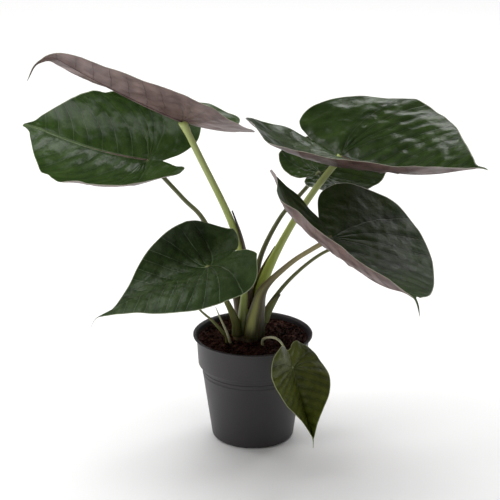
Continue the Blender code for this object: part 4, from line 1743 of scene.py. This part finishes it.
@dataclass
class Pot:
    """Nursery pot with a rolled lip, a flared band, two moulded lines and a foot ring with drain holes."""

    band_height: float = 0.044
    band_overhang: float = 0.0050
    band_taper: float = 0.0023
    band_step: float = 0.0042
    base_radius: float = 0.0590
    wall: float = 0.0014
    lip: float = 0.0016
    floor: float = 0.0020
    recess: float = 0.0035
    rounding: float = 0.0050
    foot_ring: float = 0.0090
    pad: float = 0.0200
    sides: int = 144
    lines_below_band: tuple[float, float] = (0.0080, 0.0145)
    line_rise: float = 0.0004
    line_half: float = 0.0007
    drain_count: int = 6
    drain_radius: float = 0.0045
    notch: Point = (0.0270, 0.0160, 0.0036)
    edge_round: float = 0.00025

    def line_at(self, radius: float, height: float) -> list[tuple[float, float]]:
        """A fine raised line round the outside, at a radius and height."""
        half = self.line_half
        return [(radius, height + half), (radius + self.line_rise, height), (radius, height - half)]

    def build(self) -> bpy.types.Object:
        """Builds the pot in the box of its CAD solid.

        Returns:
            The pot.
        """
        low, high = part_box("Pot")
        lip_radius, height = (high.x - low.x) / 2, high.z
        top = lip_radius - self.band_overhang
        foot = top - self.band_taper
        body = foot - self.band_step
        band = height - self.band_height
        floor_top = self.recess + self.floor
        foot_inner = self.base_radius - self.rounding - self.foot_ring

        def body_radius(level: float) -> float:
            """Outer radius of the body at a height."""
            return self.base_radius + (body - self.base_radius) * level / band

        profile = [
            (HUB, floor_top),
            (body_radius(floor_top) - self.wall - self.floor, floor_top),
            (body_radius(2 * floor_top) - self.wall, floor_top + self.floor),
            (body - self.wall, band - self.wall),
            (foot - self.wall, band),
            (top - self.wall, height - 2 * self.lip),
            (top + 0.3 * self.wall, height - 0.55 * self.lip),
            (lip_radius - 1.1 * self.lip, height),
            (lip_radius - 0.35 * self.lip, height - 0.05 * self.lip),
            (lip_radius, height - 0.45 * self.lip),
            (lip_radius - 0.05 * self.lip, height - 1.1 * self.lip),
            (lip_radius - 0.8 * self.lip, height - 1.55 * self.lip),
            (top + 0.35 * self.lip, height - 2.3 * self.lip),
            (top - 0.03 * self.lip, height - 3.6 * self.lip),
            (foot + 0.00015, band + 0.0012),
            (foot - 0.0004, band + 0.0002),
            (body + 0.0003, band - self.wall),
        ]
        for level in (band - below for below in self.lines_below_band):
            profile += self.line_at(body_radius(level), level)
        profile += [
            (
                self.base_radius - self.rounding * (1 - math.cos(angle)),
                self.rounding * (1 - math.sin(angle)),
            )
            for angle in np.linspace(0, math.pi / 2, 8)
        ]
        profile += [(foot_inner, 0.0), (foot_inner, self.recess), (self.pad, self.recess), (self.pad, 0.0)]
        piece = Bench.turned("Pot_shell", [*profile, (HUB, 0.0)], self.sides)
        self.cut_base(piece, foot_inner, floor_top)
        limit = math.radians(50)
        Bench.apply(
            piece, "BEVEL", width=self.edge_round, segments=2, limit_method="ANGLE", angle_limit=limit
        )
        Bench.smooth(piece, 40)
        piece.data.materials.append(PotFinish().build("pot_charcoal"))
        Bench.hand_over(piece, "pot_plastic", "Pot")
        return piece

    def cut_base(self, piece: bpy.types.Object, foot_inner: float, floor_top: float) -> None:
        """Cuts the drain holes and the notches of the foot ring.

        Args:
            piece: the pot.
            foot_inner: inner radius of the foot ring.
            floor_top: height of the pot's floor.
        """
        ring, foot = (self.pad + foot_inner) / 2, foot_inner + self.foot_ring
        for index in range(self.drain_count):
            angle = math.tau * index / self.drain_count
            Bench.clear_selection()
            bpy.ops.mesh.primitive_cylinder_add(
                vertices=32, radius=self.drain_radius, depth=4 * floor_top,
                location=(ring * math.cos(angle), ring * math.sin(angle), floor_top / 2),
            )
            Bench.cut(piece)
            angle += math.pi / self.drain_count
            Bench.clear_selection()
            bpy.ops.mesh.primitive_cube_add(
                size=1.0, location=(foot * math.cos(angle), foot * math.sin(angle), 0.0),
                rotation=(0.0, 0.0, angle), scale=self.notch,
            )
            Bench.cut(piece)


# ---------------------------------------------------------------- the studio


@dataclass(frozen=True)
class SoftLight:
    """A square softbox aimed at the plant."""

    name: str
    place: Point
    size: float
    power: float
    target: Point = (0.0, 0.0, 0.28)
    glints: bool = True

    def build(self) -> None:
        """Adds the light."""
        data = bpy.data.lights.new(self.name, "AREA")
        data.size = self.size
        data.energy = self.power
        lamp = Bench.placed(self.name, data, self.place)
        lamp.visible_glossy = self.glints
        aim = Vector(self.target) - Vector(self.place)
        lamp.rotation_euler = aim.to_track_quat("-Z", "Y").to_euler()


@dataclass
class Studio:
    """Camera, lights, surroundings and floor."""

    camera_place: Point = (-0.004, -2.16, 1.04)
    camera_tilt: float = -19.39
    lens: float = 117.9
    sensor: float = 36.0
    floor_size: float = 60.0
    floor_level: float = -0.0002
    surround: float = 0.31
    sky_power: float = 2.75
    sky_spread: float = 80.0
    sky_lean: tuple[float, float, float] = (-28.0, -8.0, 0.0)
    lights: tuple[SoftLight, ...] = (
        SoftLight("Key", (-1.6, 0.9, 2.2), 0.9, 11.0),
        SoftLight("Window", (1.5, 1.6, 1.9), 0.7, 8.0),
        SoftLight("Rear", (0.35, 2.5, 1.6), 0.6, 4.5),
        SoftLight("Fill", (-2.7, -1.0, 0.9), 1.0, 27.0, glints=False),
    )

    def build(self) -> None:
        """Sets up the whole studio."""
        self.build_camera()
        self.build_world()
        self.build_floor()
        self.build_sky()
        for light in self.lights:
            light.build()
        bpy.context.scene.view_settings.view_transform = "Standard"

    def build_camera(self) -> None:
        """Adds the camera."""
        data = bpy.data.cameras.new("Camera")
        data.lens = self.lens
        data.sensor_width = self.sensor
        camera = Bench.placed("Camera", data, self.camera_place)
        camera.rotation_euler = (math.radians(90 + self.camera_tilt), 0.0, 0.0)
        bpy.context.scene.camera = camera

    def build_world(self) -> None:
        """Gives the scene a plain white surround."""
        world = bpy.data.worlds.new("Surround")
        world.use_nodes = True
        back = world.node_tree.nodes["Background"]
        back.inputs["Color"].default_value = (1.0, 1.0, 1.0, 1.0)
        back.inputs["Strength"].default_value = self.surround
        world.cycles_visibility.glossy = False
        bpy.context.scene.world = world

    def build_sky(self) -> None:
        """Adds the broad even light from overhead."""
        data = bpy.data.lights.new("Overhead", "SUN")
        data.energy = self.sky_power
        data.angle = math.radians(self.sky_spread)
        lamp = Bench.placed("Overhead", data)
        lamp.rotation_euler = [math.radians(angle) for angle in self.sky_lean]
        lamp.visible_glossy = False

    def build_floor(self) -> None:
        """Adds the floor."""
        Bench.clear_selection()
        bpy.ops.mesh.primitive_plane_add(size=self.floor_size, location=(0.0, 0.0, self.floor_level))
        floor = bpy.context.object
        floor.name = "Studio_floor"
        floor.data.materials.append(FloorFinish().build("floor_paint"))


def main() -> None:
    """Builds the pot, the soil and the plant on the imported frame, then the studio."""
    logging.basicConfig(level=logging.INFO, format="%(message)s")
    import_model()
    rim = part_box("Pot")[1].z
    soil_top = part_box("Soil")[1].z
    corm_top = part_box("Corm")[1].z
    Studio().build()
    Pot().build()
    crown = Crown()
    Soil().build(crown)
    crown.build_corm()
    crown.build_shoot(rim, soil_top)
    grown = {}
    for leaf in LEAVES:
        grown[leaf.name] = leaf
        leaf.build_blade(rim)
        in_crown = math.dist(leaf.stalk.base, crown.centre) < CROWN_REACH
        leaf.build_petiole(rim, (corm_top if in_crown else soil_top) - FOOT_DEPTH)
    for sheath in SHEATHS:
        sheath.build(grown[sheath.name], rim, corm_top - FOOT_DEPTH)


if __name__ == "__main__":
    main()
